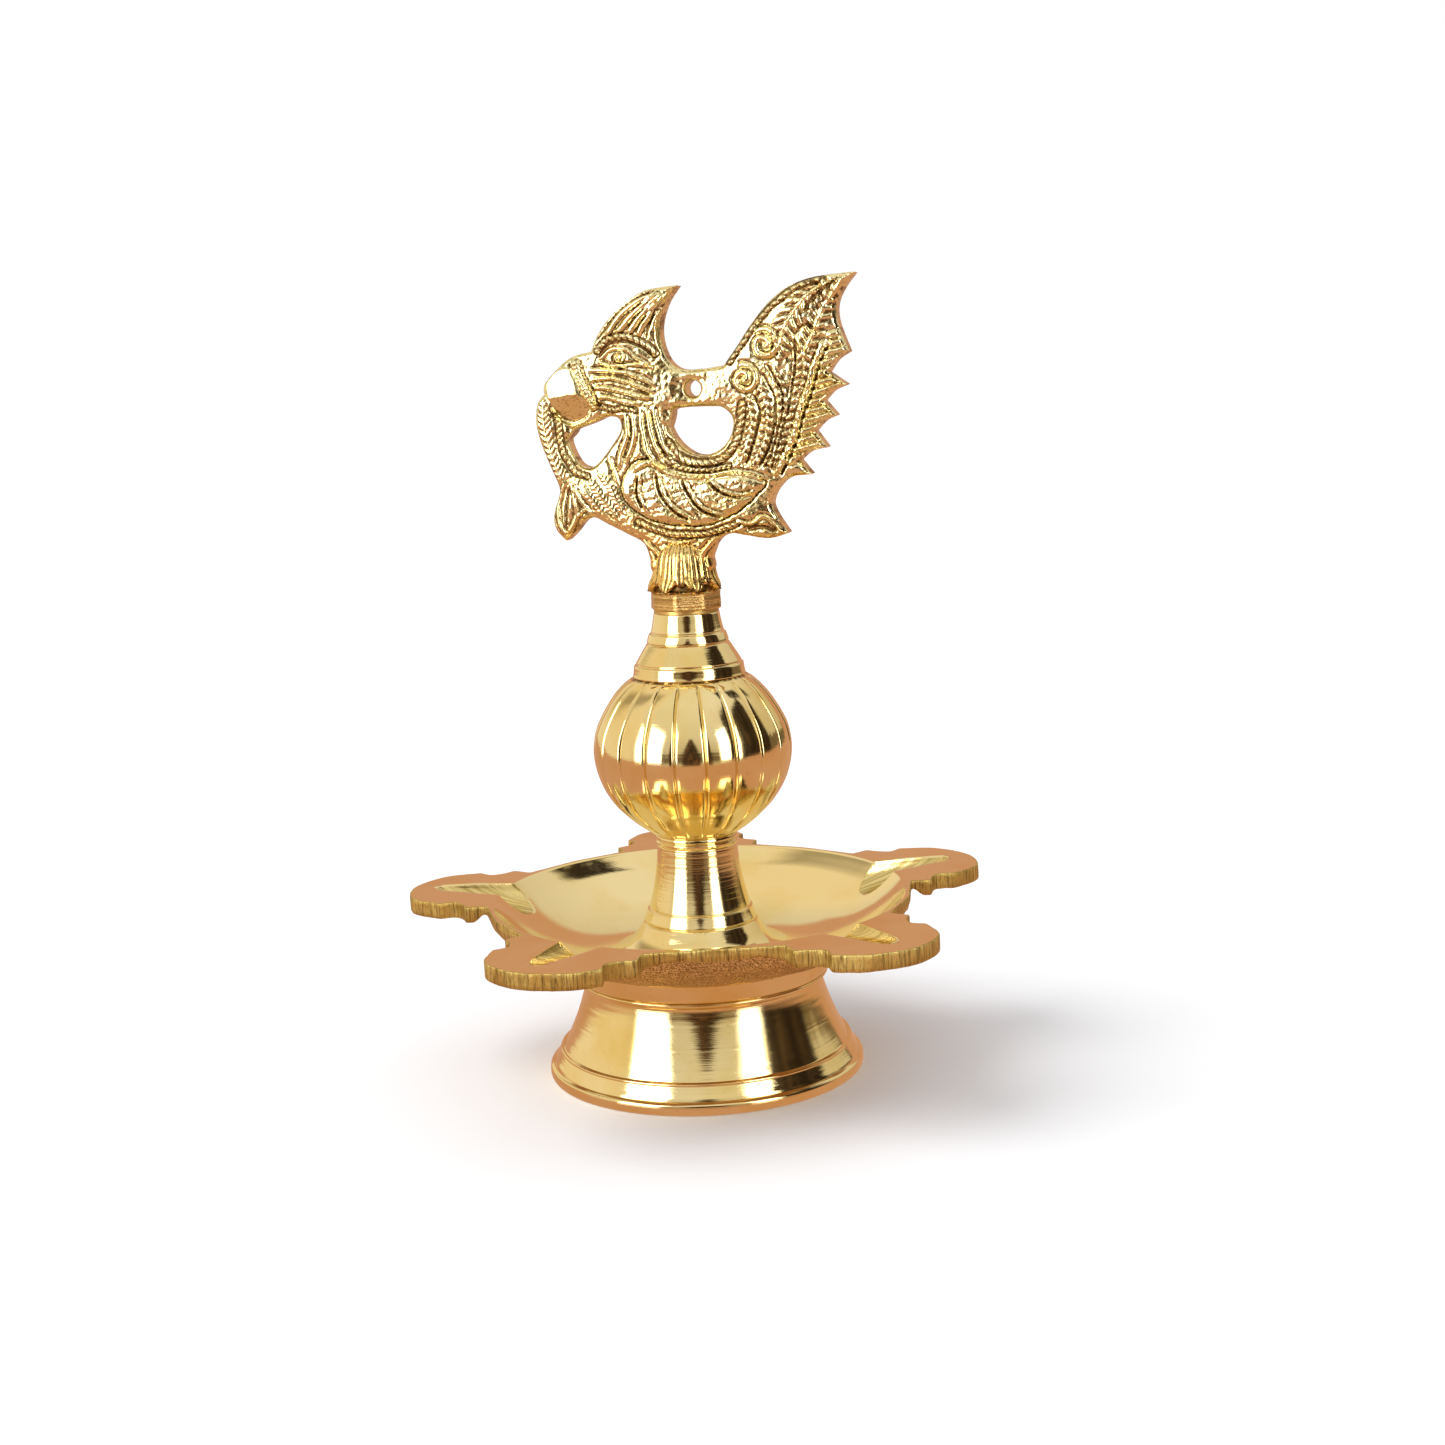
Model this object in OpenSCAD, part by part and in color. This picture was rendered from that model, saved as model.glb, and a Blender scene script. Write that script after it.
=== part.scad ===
// Brass standing oil lamp with five spouts and a bird finial.
// Origin: centre of the foot on the surface it stands on. +Z is up, the front gap between spouts faces -Y.

/* [Foot] */
// Radius of the foot's rim
foot_r = 40.7; // [38:0.1:44]
// Height of the foot's rim
rim_h = 3.4; // [2.5:0.1:4]
// Height of the whole foot
foot_h = 25.6; // [25:0.1:26.5]

/* [Oil bowl] */
// Level of the bowl's flat top
plate_top = 45.7; // [45:0.1:47]
// Thickness of the spouts' flat plate
plate_t = 4.2; // [3.6:0.1:4.8]
// Radius of the round rim of the oil cavity
cavity_r = 53.0; // [51:0.1:54]
// Level of the cavity's floor
floor_z = 30.5; // [30:0.1:31]
// Reach of a spout's tip from the axis
tip_r = 78.5; // [76:0.1:80]
// Where a wick channel starts, from the axis
channel_tip_r = 72.0; // [70:0.1:73]
// Half width and depth of a wick channel at its mouth
channel_r = 7.2; // [6:0.1:7.5]

/* [Column] */
// Level of the stem's top
stem_top = 59.1; // [58.5:0.1:60]
// Radius of the stem's top
stem_top_r = 10.2; // [9.8:0.1:10.6]
// Widest radius of the fluted ball
ball_r = 25.2; // [24:0.1:26]
// Level of the ball's bottom
ball_bottom = 61.8; // [61.5:0.1:62.5]
// Level of the ball's top
ball_top = 102.4; // [102:0.1:103]
// Number of flutes round the ball
flutes = 20; // [12:1:24]
// Turn of the flutes about the vertical axis
flute_turn = -4.8; // [-9:0.1:9]

/* [Finial] */
// Level of the finial's underside
finial_base = 119.4; // [119:0.1:120]
// Thickness of the bird casting
bird_t = 7.0; // [6:0.1:8]
// Turn of the bird about the vertical axis
bird_turn = -18; // [-30:1:0]
// Radius of the hanging hole
hang_r = 2.05; // [1.8:0.05:2.2]

/* [Threads] */
// Thread pitch, the same on both threads
pitch = 1.6; // [1.2:0.1:2]
// Turns that free the finial
finial_turns = 4.25; // [3.25:0.5:4.25]
// Turns that free the column
column_turns = 4.75; // [3.75:0.5:4.75]

/* [Hidden] */
$fn = 96;

brass = "#d8b25a";
cast_brass = "#b08d3e";
stud_brass = "#c9a24c";
fibre = "#7a4a2a";

// Threads are plain cylinders with this much room all round.
thread_gap = 0.05;
stud_r = 4.0;
rod_r = 3.0;
clear_r = 4.4;

web_z = foot_h - 3.2;
washer_t = 1.4;
nut_t = 6.4;
nut_flats = 13;
nut_top = web_z - washer_t;
stud_bottom = nut_top - nut_t - 2.4;

seal_t = 1.0;
seal_r = 15;
stem_bottom = floor_z + seal_t;
stud_top = stem_bottom + column_turns * pitch;
stem_bore_top = stud_top + 4;

rod_bottom = stem_top - 9;
rod_top = ball_top + 5.6;
ball_wall = 2.0;

finial_washer_t = 0.8;
neck_top = finial_base - finial_washer_t;
neck_socket = neck_top - finial_turns * pitch - 0.3;
tang_bottom = neck_top - finial_turns * pitch;

keel_wall = 2.2;

// Spout outline, as (along the spout's axis, across it).
gap_end = [52.6, 18.2];
step_corner = [57.6, 19.9];
scallop = [[60.0, 16.6], [62.8, 15.0]];
lobe_corner = [66.2, 16.8];
lobe_side = [74.6, 11.6];
gap_mid_r = 54.6;
// Each gap is cut by hand, so its corners sit a little in or out.
hand_cut = [1.03, 0.985, 0.995, 0.995, 0.985];

function polar(r, a) = [r * cos(a), r * sin(a)];
function turned(p, a) = [p[0] * cos(a) - p[1] * sin(a), p[0] * sin(a) + p[1] * cos(a)];
function flipped(p) = [p[0], -p[1]];
function reversed(pts) = [for (i = [len(pts) - 1:-1:0]) pts[i]];

// Catmull-Rom curve through a run of points, without its last point.
function blend(a, b, c, d, t) = 0.5 * (2 * b + (c - a) * t + (2 * a - 5 * b + 4 * c - d) * t * t
    + (3 * b - a - 3 * c + d) * t * t * t);
function curve(pts, steps) = [for (i = [0:len(pts) - 2]) for (k = [0:steps - 1])
    blend(pts[max(i - 1, 0)], pts[i], pts[i + 1], pts[min(i + 2, len(pts) - 1)], k / steps)];
// A closed outline from runs that meet at sharp corners.
function outline(runs, steps) = [for (run = runs) each curve(run, steps)];
// A closed smooth loop through the points.
function loop(pts, steps) = let (n = len(pts)) [for (i = [0:n - 1]) for (k = [0:steps - 1])
    blend(pts[(i + n - 1) % n], pts[i], pts[(i + 1) % n], pts[(i + 2) % n], k / steps)];

// One side of a spout, from its lobe's corner back to the end of the gap, for the gap's own size.
function spout_side(k) = concat(curve([lobe_corner * k, scallop[1] * k, scallop[0] * k, step_corner * k], 4),
    [step_corner * k, gap_end * k]);
function lobe(k0, k1) = curve([flipped(lobe_corner) * k0, flipped(lobe_side), [tip_r, 0], lobe_side,
    lobe_corner * k1], 5);
function spout(i) = let (a = -54 + 72 * i, before = hand_cut[i], after = hand_cut[(i + 1) % 5])
    [for (p = concat(reversed([for (q = spout_side(before)) flipped(q)]), lobe(before, after),
        spout_side(after), [polar(gap_mid_r, 36)])) turned(p, a)];

module ring(r_out, r_in, z0, z1) {
    translate([0, 0, z0]) difference() {
        cylinder(r = r_out, h = z1 - z0);
        translate([0, 0, -1]) cylinder(r = r_in, h = z1 - z0 + 2);
    }
}

module turned_solid(profile) {
    rotate_extrude() polygon(profile);
}

// ---- foot group ----

module foot() {
    groove = [[37.6, 6.7], [36.9, 7.1], [36.7, 7.7]];
    outer = concat([[foot_r, 0], [foot_r, rim_h - 0.6], [39.5, rim_h], [39.2, rim_h + 0.6]], groove, [[35.2, 10.4],
        [33.6, 14.0], [32.4, 17.2], [31.8, 19.0], [31.2, 21.0], [30.7, 23.4], [31.0, 24.2], [32.0, 24.5],
        [32.3, 24.9], [32.0, foot_h]]);
    inner = [[38.2, 0], [38.2, 1.6], [34.8, 6.6], [32.6, 10.2], [30.6, 14.2], [29.2, 18.0], [28.2, web_z]];
    color(brass) difference() {
        turned_solid(concat(outer, [[0, foot_h], [0, web_z]], reversed(inner)));
        translate([0, 0, web_z - 1]) cylinder(r = clear_r, h = foot_h);
    }
}

module foot_washer() {
    color(stud_brass) ring(9, clear_r, nut_top, web_z);
}

module foot_nut() {
    color(stud_brass) translate([0, 0, nut_top - nut_t]) difference() {
        intersection() {
            cylinder(r = nut_flats / 2 / cos(30), h = nut_t, $fn = 6);
            cylinder(r1 = 6.9, r2 = 6.9 + nut_t, h = nut_t);
        }
        translate([0, 0, -1]) cylinder(r = stud_r + thread_gap, h = nut_t + 2);
    }
}

module foot_stud() {
    color(stud_brass) union() {
        translate([0, 0, stud_bottom]) cylinder(r = stud_r, h = stud_top - stud_bottom - 0.8);
        translate([0, 0, stud_top - 0.8]) cylinder(r1 = stud_r, r2 = stud_r - 0.7, h = 0.8);
    }
}

// ---- bowl ----

// Half of a pointed bud lying along a spout, turned about its own axis. wall makes it fatter all round.
module bud(wall) {
    length = channel_tip_r - 40;
    steps = 9;
    side = [for (i = [0:steps]) let (t = i / steps)
        [channel_r * pow(t, 0.72) * (1.28 - 0.28 * t) + wall, -length * t]];
    translate([channel_tip_r, 0, plate_top]) rotate([0, 90, 0])
        rotate_extrude() polygon(concat([[0, wall]], side, [[0, -length]]));
}

// The rounded keel that backs a wick channel under the plate.
module keel() {
    intersection() {
        bud(keel_wall);
        translate([0, 0, plate_top - 15]) cylinder(r = tip_r, h = 14);
    }
}

module bowl() {
    plate = [for (i = [0:4]) each spout(i)];
    under = [[0, foot_h], [31.8, foot_h], [32.4, 26.0], [32.7, 27.0], [32.8, 28.6], [33.1, 30.2], [33.8, 30.8],
        [40.5, 32.9], [46.5, 35.9], [51.5, 39.4], [53.6, 41.8], [53.6, plate_top - 0.01], [0, plate_top - 0.01]];
    cavity = [[0, floor_z], [21, floor_z], [25, 30.8], [30, 31.7], [35, 33.2], [40, 35.4], [44.5, 38.1],
        [48.5, 41.2], [51.3, 43.9], [cavity_r, plate_top], [cavity_r, plate_top + 1], [0, plate_top + 1]];
    color(brass) difference() {
        union() {
            translate([0, 0, plate_top - plate_t]) linear_extrude(plate_t) polygon(plate);
            turned_solid(under);
            for (i = [0:4]) rotate([0, 0, -54 + 72 * i]) keel();
        }
        turned_solid(cavity);
        for (i = [0:4]) rotate([0, 0, -54 + 72 * i]) bud(0);
        translate([0, 0, foot_h - 1]) cylinder(r = clear_r, h = 10);
    }
}

// ---- column ----

module seal_washer() {
    color(fibre) ring(seal_r, clear_r, floor_z, stem_bottom);
}

module stem() {
    profile = [[0, stem_bottom], [22.0, stem_bottom], [22.2, 31.9], [21.6, 32.3], [19.2, 33.4], [17.2, 35.3],
        [15.6, 37.6], [14.7, 38.9], [14.25, 39.1], [14.35, 39.6], [13.6, 41.8], [13.3, 42.4], [12.85, 42.6],
        [12.95, 43.1], [11.9, 47.2], [11.0, 52.0], [10.5, 56.0], [stem_top_r, stem_top], [0, stem_top]];
    color(brass) difference() {
        turned_solid(profile);
        translate([0, 0, stem_bottom - 1]) cylinder(r = stud_r + thread_gap, h = stem_bore_top - stem_bottom + 1);
        translate([0, 0, rod_bottom - 0.5]) cylinder(r = rod_r + thread_gap, h = 20);
    }
}

module ball_collar() {
    mid = (stem_top + ball_bottom) / 2;
    profile = [[rod_r + 0.3, stem_top], [10.5, stem_top], [10.7, stem_top + 0.4], [10.6, mid - 0.25],
        [10.3, mid], [10.5, mid + 0.25], [10.4, ball_bottom], [rod_r + 0.3, ball_bottom]];
    color(brass) turned_solid(profile);
}

function ball_side() = curve([[10.6, ball_bottom], [16.6, 66.6], [20.6, 70.6], [23.6, 75.6], [ball_r, 82.4],
    [ball_r - 0.5, 87.6], [23.2, 92.0], [19.7, 97.6], [16.4, 101.2], [14.4, ball_top]], 3);

module flute_cutter() {
    side = ball_side();
    n = len(side);
    inset = [for (i = [2:n - 1]) [side[i][0] - 0.55 * sin(180 * (i - 1) / n), side[i][1]]];
    outset = [for (i = [n - 1:-1:2]) [side[i][0] + 2, side[i][1]]];
    rotate([90, 0, 0]) translate([0, 0, -0.4]) linear_extrude(0.8) polygon(concat(inset, outset));
}

module ball() {
    side = concat(ball_side(), [[14.4, ball_top]]);
    inner = [for (p = side) if (p[0] > 13) [p[0] - ball_wall, p[1]]];
    color(brass) difference() {
        turned_solid(concat(side, [[10.2, ball_top]], reversed(inner), [[7, ball_bottom + 2], [7, ball_bottom]]));
        for (i = [0:flutes - 1]) rotate([0, 0, (i + 0.5) * 360 / flutes + flute_turn]) flute_cutter();
    }
}

module tie_rod() {
    color(stud_brass) translate([0, 0, rod_bottom]) cylinder(r = rod_r, h = rod_top - rod_bottom);
}

module neck() {
    profile = [[0, ball_top], [14.2, ball_top], [14.3, ball_top + 0.5], [13.9, 105.5], [13.3, 105.8],
        [13.1, 106.3], [10.4, 110.9], [10.1, 111.1], [10.3, 111.5], [9.7, 113.4], [9.3, 113.6], [9.15, 113.9],
        [8.3, neck_top], [0, neck_top]];
    color(brass) difference() {
        turned_solid(profile);
        translate([0, 0, ball_top - 1]) cylinder(r = rod_r + thread_gap, h = rod_top - ball_top + 1.4);
        translate([0, 0, neck_socket]) cylinder(r = stud_r + thread_gap, h = 20);
    }
}

// ---- finial ----

module finial_washer() {
    color(stud_brass) ring(8.2, clear_r, neck_top, finial_base);
}

// Outline of the bird seen from the front, as (across, up) from the finial's base. The bird looks to -X.
crest = [[-20.6, 64.6], [-18.4, 69.0], [-15.4, 72.6], [-11.3, 76.0], [-5.8, 78.8], [1.8, 79.6]];
nape = [[1.8, 79.6], [-1.2, 75.5], [-3.0, 70.0], [-2.6, 65.0], [-0.6, 61.0], [2.6, 59.2], [8.0, 59.2],
    [13.0, 59.8]];
tail_front = [[13.0, 59.8], [16.2, 63.8], [20.0, 69.0], [24.8, 74.4], [30.0, 78.0], [36.3, 79.9], [46.0, 80.6]];
tail_teeth = [[[46.0, 80.6], [43.4, 77.4], [41.5, 73.6], [41.6, 69.0], [44.1, 62.0]],
    [[44.1, 62.0], [41.2, 60.2], [38.9, 57.2]], [[38.9, 57.2], [43.3, 54.1]],
    [[43.3, 54.1], [40.0, 52.8], [37.6, 50.4]], [[37.6, 50.4], [40.6, 46.8]],
    [[40.6, 46.8], [37.6, 45.6], [35.1, 43.2]], [[35.1, 43.2], [38.0, 39.2]],
    [[38.0, 39.2], [34.0, 38.4], [31.0, 36.3]], [[31.0, 36.3], [33.8, 32.8]]];
rump = [[33.8, 32.8], [28.6, 32.2], [25.4, 29.8], [23.6, 26.2], [24.6, 23.0], [27.4, 18.6]];
lower_leaf = [[27.4, 18.6], [22.6, 17.4], [17.2, 18.2], [13.0, 18.8], [9.4, 17.0], [7.4, 13.0]];
stalk = [[7.4, 13.0], [7.4, 8.0], [-7.6, 8.0], [-8.0, 13.0]];
chest_leaf = [[-8.0, 13.0], [-9.4, 16.8], [-13.8, 19.4], [-18.4, 21.8], [-22.0, 23.6], [-25.0, 22.8],
    [-27.6, 20.0], [-29.8, 18.0]];
flower_stem = [[-29.8, 18.0], [-32.2, 20.8], [-32.6, 24.6], [-31.2, 28.6], [-30.8, 31.4], [-33.0, 37.0],
    [-35.2, 43.4], [-36.0, 48.4], [-35.2, 52.6], [-33.4, 54.6]];
beak = [[-33.4, 54.6], [-33.2, 57.0], [-30.0, 60.4], [-25.8, 63.4], [-20.6, 64.6]];
chest_hole = [[-26.2, 45.6], [-21.2, 47.2], [-17.4, 48.6], [-14.4, 48.0], [-13.9, 45.0], [-16.7, 41.0],
    [-19.9, 37.4], [-22.4, 36.0], [-25.4, 37.0], [-27.4, 40.4], [-28.1, 43.6]];
wing_hole = [[-0.6, 49.4], [3.0, 50.2], [8.0, 50.2], [12.2, 49.8], [14.8, 47.0], [14.2, 43.0], [11.6, 39.7],
    [7.5, 38.2], [4.0, 38.8], [0.4, 41.7], [-1.7, 45.8]];
hang_at = [5.1, 54.6];

module bird_plate() {
    edge = concat(curve(crest, 2), curve(nape, 2), curve(tail_front, 2), outline(tail_teeth, 2), curve(rump, 2),
        curve(lower_leaf, 2), curve(stalk, 1), curve(chest_leaf, 2), curve(flower_stem, 2), curve(beak, 2));
    rotate([90, 0, 0]) translate([0, 0, -bird_t / 2]) difference() {
        linear_extrude(bird_t) difference() {
            polygon(edge);
            polygon(loop(chest_hole, 2));
            polygon(loop(wing_hole, 2));
        }
        translate([hang_at[0], hang_at[1], -1]) cylinder(r = hang_r, h = bird_t + 2);
    }
}

module finial() {
    shank = [[0, 0.4], [8.4, 0.4], [8.4, 4.6], [7.6, 5.4], [7.2, 8.0], [7.0, 10.6], [6.2, 13.6], [4.2, 16.2],
        [0, 17.4]];
    translate([0, 0, finial_base]) rotate([0, 0, bird_turn]) color(cast_brass) union() {
        cylinder(r = 9.2, h = 4.6, $fn = 8);
        turned_solid(shank);
        bird_plate();
        translate([0, 0, tang_bottom - finial_base]) cylinder(r = stud_r, h = finial_base - tang_bottom + 1);
    }
}

foot();
foot_washer();
foot_nut();
foot_stud();
bowl();
seal_washer();
stem();
ball_collar();
ball();
tie_rod();
neck();
finial_washer();
finial();
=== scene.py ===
"""Brass standing oil lamp: the visual pieces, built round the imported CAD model. Shapes are in millimetres."""

import math

import bpy
import numpy as np
from mathutils import Matrix, Vector, kdtree
from mathutils.geometry import delaunay_2d_cdt


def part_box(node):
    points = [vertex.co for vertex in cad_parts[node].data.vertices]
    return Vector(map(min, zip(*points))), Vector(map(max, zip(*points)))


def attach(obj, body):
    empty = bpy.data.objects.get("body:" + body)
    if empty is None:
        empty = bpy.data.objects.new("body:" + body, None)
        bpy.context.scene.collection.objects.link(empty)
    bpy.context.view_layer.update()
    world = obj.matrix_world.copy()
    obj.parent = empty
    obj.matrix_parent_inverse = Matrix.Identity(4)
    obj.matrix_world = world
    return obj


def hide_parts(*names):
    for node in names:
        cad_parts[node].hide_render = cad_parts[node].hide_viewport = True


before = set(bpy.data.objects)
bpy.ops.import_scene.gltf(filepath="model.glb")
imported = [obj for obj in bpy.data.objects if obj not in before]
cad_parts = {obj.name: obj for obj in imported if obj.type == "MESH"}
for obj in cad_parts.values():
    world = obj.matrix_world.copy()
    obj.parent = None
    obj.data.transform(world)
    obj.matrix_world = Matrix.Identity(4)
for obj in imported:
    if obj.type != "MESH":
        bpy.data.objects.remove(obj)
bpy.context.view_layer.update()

MM = 0.001
SPOUTS = 5
FLUTES = 20
FLUTE_TURN = math.radians(-4.8)
COLUMNS = 360  # points round a turned shape

PLATE_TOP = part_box("bowl")[1].z / MM
PLATE_T = 4.2
THIN_EDGE = 2.3  # the plate's edge in the gaps between spouts
FLOOR_Z = 30.5
CHANNEL_TIP = 72.0
CHANNEL_R = 7.2
CHANNEL_LENGTH = 32.0
KEEL_WALL = 2.2
CLEAR_R = 4.4  # holes that the studs pass through
SPOUT_START = 30  # nearer the axis than this, a point belongs to no spout
LAND_R = 51  # inside this the cavity's own rings of points are enough
POLISHED, GROUND, FILED, CAST, TURNED = range(5)  # the bowl's materials
BODY_R = 33.8  # where the cast underside meets the turned collar
BODY_Z = 30.8
FOOT_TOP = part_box("foot")[1].z / MM
BALL_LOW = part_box("ball")[0].z / MM
BALL_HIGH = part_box("ball")[1].z / MM
FINIAL_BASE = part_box("finial_washer")[1].z / MM
TANG_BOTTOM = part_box("finial")[0].z / MM - FINIAL_BASE
BIRD_TURN = math.radians(-18)


# ---- curves and fields ----


def unit(value):
    """The value, held between 0 and 1."""
    return np.clip(value, 0, 1)


def swept(share):
    """A share from 0 to 1 that starts and ends gently."""
    return share * share * (3 - 2 * share)


def bell(distance, width):
    """1 at no distance, falling smoothly to almost nothing at two widths."""
    return np.exp(-((distance / width) ** 2))


def curve(points, steps):
    """Catmull-Rom curve through the points, both ends included."""
    p = np.asarray(points, float)
    ends = np.vstack([p[:1], p, p[-1:]])
    t = np.linspace(0, 1, steps, endpoint=False)[:, None]
    runs = [
        0.5 * (2 * b + (c - a) * t + (2 * a - 5 * b + 4 * c - d) * t**2 + (3 * b - a - 3 * c + d) * t**3)
        for a, b, c, d in zip(ends, ends[1:], ends[2:], ends[3:])
    ]
    return np.vstack(runs + [p[-1:]])


def joined(runs):
    """One line from runs that share their ends."""
    return np.vstack([np.asarray(run, float)[:-1] for run in runs[:-1]] + [np.asarray(runs[-1], float)])


def spaced(line, step):
    """The line again, with points an even step apart and its ends kept."""
    line = np.asarray(line, float)
    place = np.concatenate([[0], np.cumsum(np.hypot(*np.diff(line, axis=0).T))])
    at = np.linspace(0, place[-1], max(2, int(round(place[-1] / step)) + 1))
    return np.stack([np.interp(at, place, line[:, k]) for k in range(2)], 1)


def closed(runs, step):
    """A closed loop of evenly spaced points from runs that meet end to end, each run's ends kept."""
    return np.vstack([spaced(run, step)[:-1] for run in runs])


def relaxed(loop, reach):
    """The closed loop with its corners eased over about that many points."""
    span = math.ceil(3 * reach)
    offsets = np.arange(-span, span + 1)
    weights = np.exp(-0.5 * (offsets / reach) ** 2)
    weights /= weights.sum()
    return sum(w * np.roll(loop, k, axis=0) for w, k in zip(weights, offsets))


def anticlockwise(loop):
    """The closed loop, turned round if it runs clockwise."""
    return loop if np.cross(loop, np.roll(loop, -1, axis=0)).sum() > 0 else loop[::-1]


def outward(loop):
    """Unit normals of a closed anticlockwise loop, pointing out."""
    along = np.roll(loop, -1, axis=0) - np.roll(loop, 1, axis=0)
    normal = np.stack([along[:, 1], -along[:, 0]], 1)
    return normal / np.hypot(*normal.T)[:, None]


def eased(points, radius):
    """An open line with each inner corner rounded to about that radius."""
    steps = 3
    p = [np.asarray(q, float) for q in points]
    out = [p[0]]
    for a, b, c in zip(p, p[1:], p[2:]):
        before, after = np.linalg.norm(a - b), np.linalg.norm(c - b)
        start = b + (a - b) * min(radius / before, 0.45)
        end = b + (c - b) * min(radius / after, 0.45)
        for k in range(steps + 1):
            t = k / steps
            out.append((1 - t) ** 2 * start + 2 * t * (1 - t) * b + t**2 * end)
    return np.array(out + [p[-1]])


def smooth_min(a, b, width):
    """The lower of two surfaces, with the crease between them rounded over about that width."""
    h = unit(0.5 + 0.5 * (b - a) / width)
    return b * (1 - h) + a * h - width * h * (1 - h)


def noise_field(x, y, size, seed):
    """A smooth random field from -1 to 1, with lumps of about that size."""
    lattice = np.random.default_rng(seed).uniform(-1, 1, (64, 64))
    u, v = x / size, y / size
    i, j = np.floor(u).astype(int), np.floor(v).astype(int)
    s, t = u - i, v - j
    s, t = swept(s), swept(t)
    corner = lambda di, dj: lattice[(i + di) % 64, (j + dj) % 64]
    low = corner(0, 0) * (1 - s) + corner(1, 0) * s
    high = corner(0, 1) * (1 - s) + corner(1, 1) * s
    return low * (1 - t) + high * t


def grit_field(x, y, *layers):
    """Random fields added up, each given as height, size and seed."""
    return sum(height * noise_field(x, y, size, seed) for height, size, seed in layers)


def inside(points, loop):
    """Whether each point lies inside the closed loop."""
    x, y = points.T
    odd = np.zeros(len(points), bool)
    for (ax, ay), (bx, by) in zip(loop, np.roll(loop, -1, axis=0)):
        if ay != by:
            odd ^= ((ay > y) != (by > y)) & (x < (bx - ax) * (y - ay) / (by - ay) + ax)
    return odd


def gap_to(points, others):
    """Distance from each point to the nearest of the others."""
    tree = kdtree.KDTree(len(others))
    for k, (x, y) in enumerate(others):
        tree.insert((x, y, 0), k)
    tree.balance()
    return np.array([tree.find((x, y, 0))[2] for x, y in points])


def gathered(groups, gap):
    """The groups' points in order, without those nearer than gap to a group before."""
    kept = groups[0]
    for group in groups[1:]:
        kept = np.vstack([kept, group[gap_to(group, kept) > gap]])
    return kept


def hex_grid(low, high, step):
    """A grid of even triangles over the box."""
    line = np.arange(low[0], high[0], step)
    heights = np.arange(low[1], high[1], step * math.sqrt(3) / 2)
    rows = [np.stack([line + step / 2 * (k % 2), np.full(len(line), y)], 1) for k, y in enumerate(heights)]
    return np.vstack(rows)


def circle(radius, count):
    turn = np.linspace(0, 2 * math.pi, count, endpoint=False)
    return np.stack([radius * np.cos(turn), radius * np.sin(turn)], 1)


def triangulated(loops, inner):
    """Points and triangles that fill the first loop, less the other loops. All loops run anticlockwise."""
    points = np.vstack(list(loops) + [inner])
    here, after, start = [], [], 0
    for number, loop in enumerate(loops):
        one = start + np.arange(len(loop))
        two = np.roll(one, -1)
        here.append(two if number else one)
        after.append(one if number else two)
        start += len(loop)
    here, after = np.concatenate(here), np.concatenate(after)
    edges = list(zip(here.tolist(), after.tolist()))
    made = delaunay_2d_cdt([Vector(p) for p in points.tolist()], edges, [], 0, 1e-7, False)
    points = np.array([v[:] for v in made[0]])
    triangles = np.array(made[2])
    a, b, c = (points[triangles[:, k]] for k in range(3))
    if np.cross(b - a, c - a).sum() < 0:
        triangles = triangles[:, ::-1]
    middle = points[triangles].mean(axis=1)
    keep = inside(middle, loops[0])
    for hole in loops[1:]:
        keep &= ~inside(middle, hole)
    # the filled side of every loop's edge is on its left, which settles the slivers that lie along it
    filled, empty = here * len(points) + after, after * len(points) + here
    for k in range(3):
        edge = triangles[:, k] * len(points) + triangles[:, (k + 1) % 3]
        keep = (keep | np.isin(edge, filled)) & ~np.isin(edge, empty)
    return points, triangles[keep]


# ---- meshes ----


def strip(rows):
    """Quads between rows of equally many points, each row closed on itself."""
    rows = [np.asarray(row, float) for row in rows]
    count = len(rows[0])
    here = np.arange(count)
    after = (here + 1) % count
    faces = [
        np.stack([low + here, low + after, low + count + after, low + count + here], 1)
        for low in range(0, count * (len(rows) - 1), count)
    ]
    return np.vstack(rows), np.vstack(faces)


def welded(parts):
    """One mesh from parts of points, faces, material number and normals. Points that meet become one."""
    def gather(key):
        return np.vstack([part.get(key, np.zeros_like(part["points"])) for part in parts])

    points = gather("points")
    _, first, merged = np.unique(np.round(points, 3), axis=0, return_index=True, return_inverse=True)
    merged = merged.ravel()
    faces, kinds, start = [], [], 0
    for part in parts:
        kind = np.broadcast_to(part.get("kind", 0), len(part["faces"]))
        for face, number in zip(merged[part["faces"] + start].tolist(), kind.tolist()):
            corners = list(dict.fromkeys(face))
            if len(corners) > 2:
                faces.append(corners)
                kinds.append(number)
        start += len(part["points"])
    return {"points": points[first], "faces": faces, "kinds": kinds,
            "normals": gather("normals")[first], "grain": gather("grain")[first]}


def added(name, data):
    """A new object in the scene."""
    made = bpy.data.objects.new(name, data)
    bpy.context.scene.collection.objects.link(made)
    return made


def mesh_piece(name, made, materials, sharp=40):
    """A Blender object from a welded mesh in millimetres."""
    mesh = bpy.data.meshes.new(name)
    mesh.from_pydata((made["points"] * MM).tolist(), [], made["faces"])
    for material in materials:
        mesh.materials.append(material)
    mesh.polygons.foreach_set("material_index", np.array(made["kinds"], np.int32))
    mesh.polygons.foreach_set("use_smooth", np.ones(len(mesh.polygons), bool))
    grain = mesh.attributes.new("grain", "FLOAT_VECTOR", "POINT")
    grain.data.foreach_set("vector", made["grain"].astype(np.float32).ravel())
    mesh.update()
    mesh.set_sharp_from_angle(angle=math.radians(sharp))
    if np.any(made["normals"]):
        mesh.normals_split_custom_set_from_vertices(made["normals"].tolist())
    return added(name, mesh)


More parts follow.
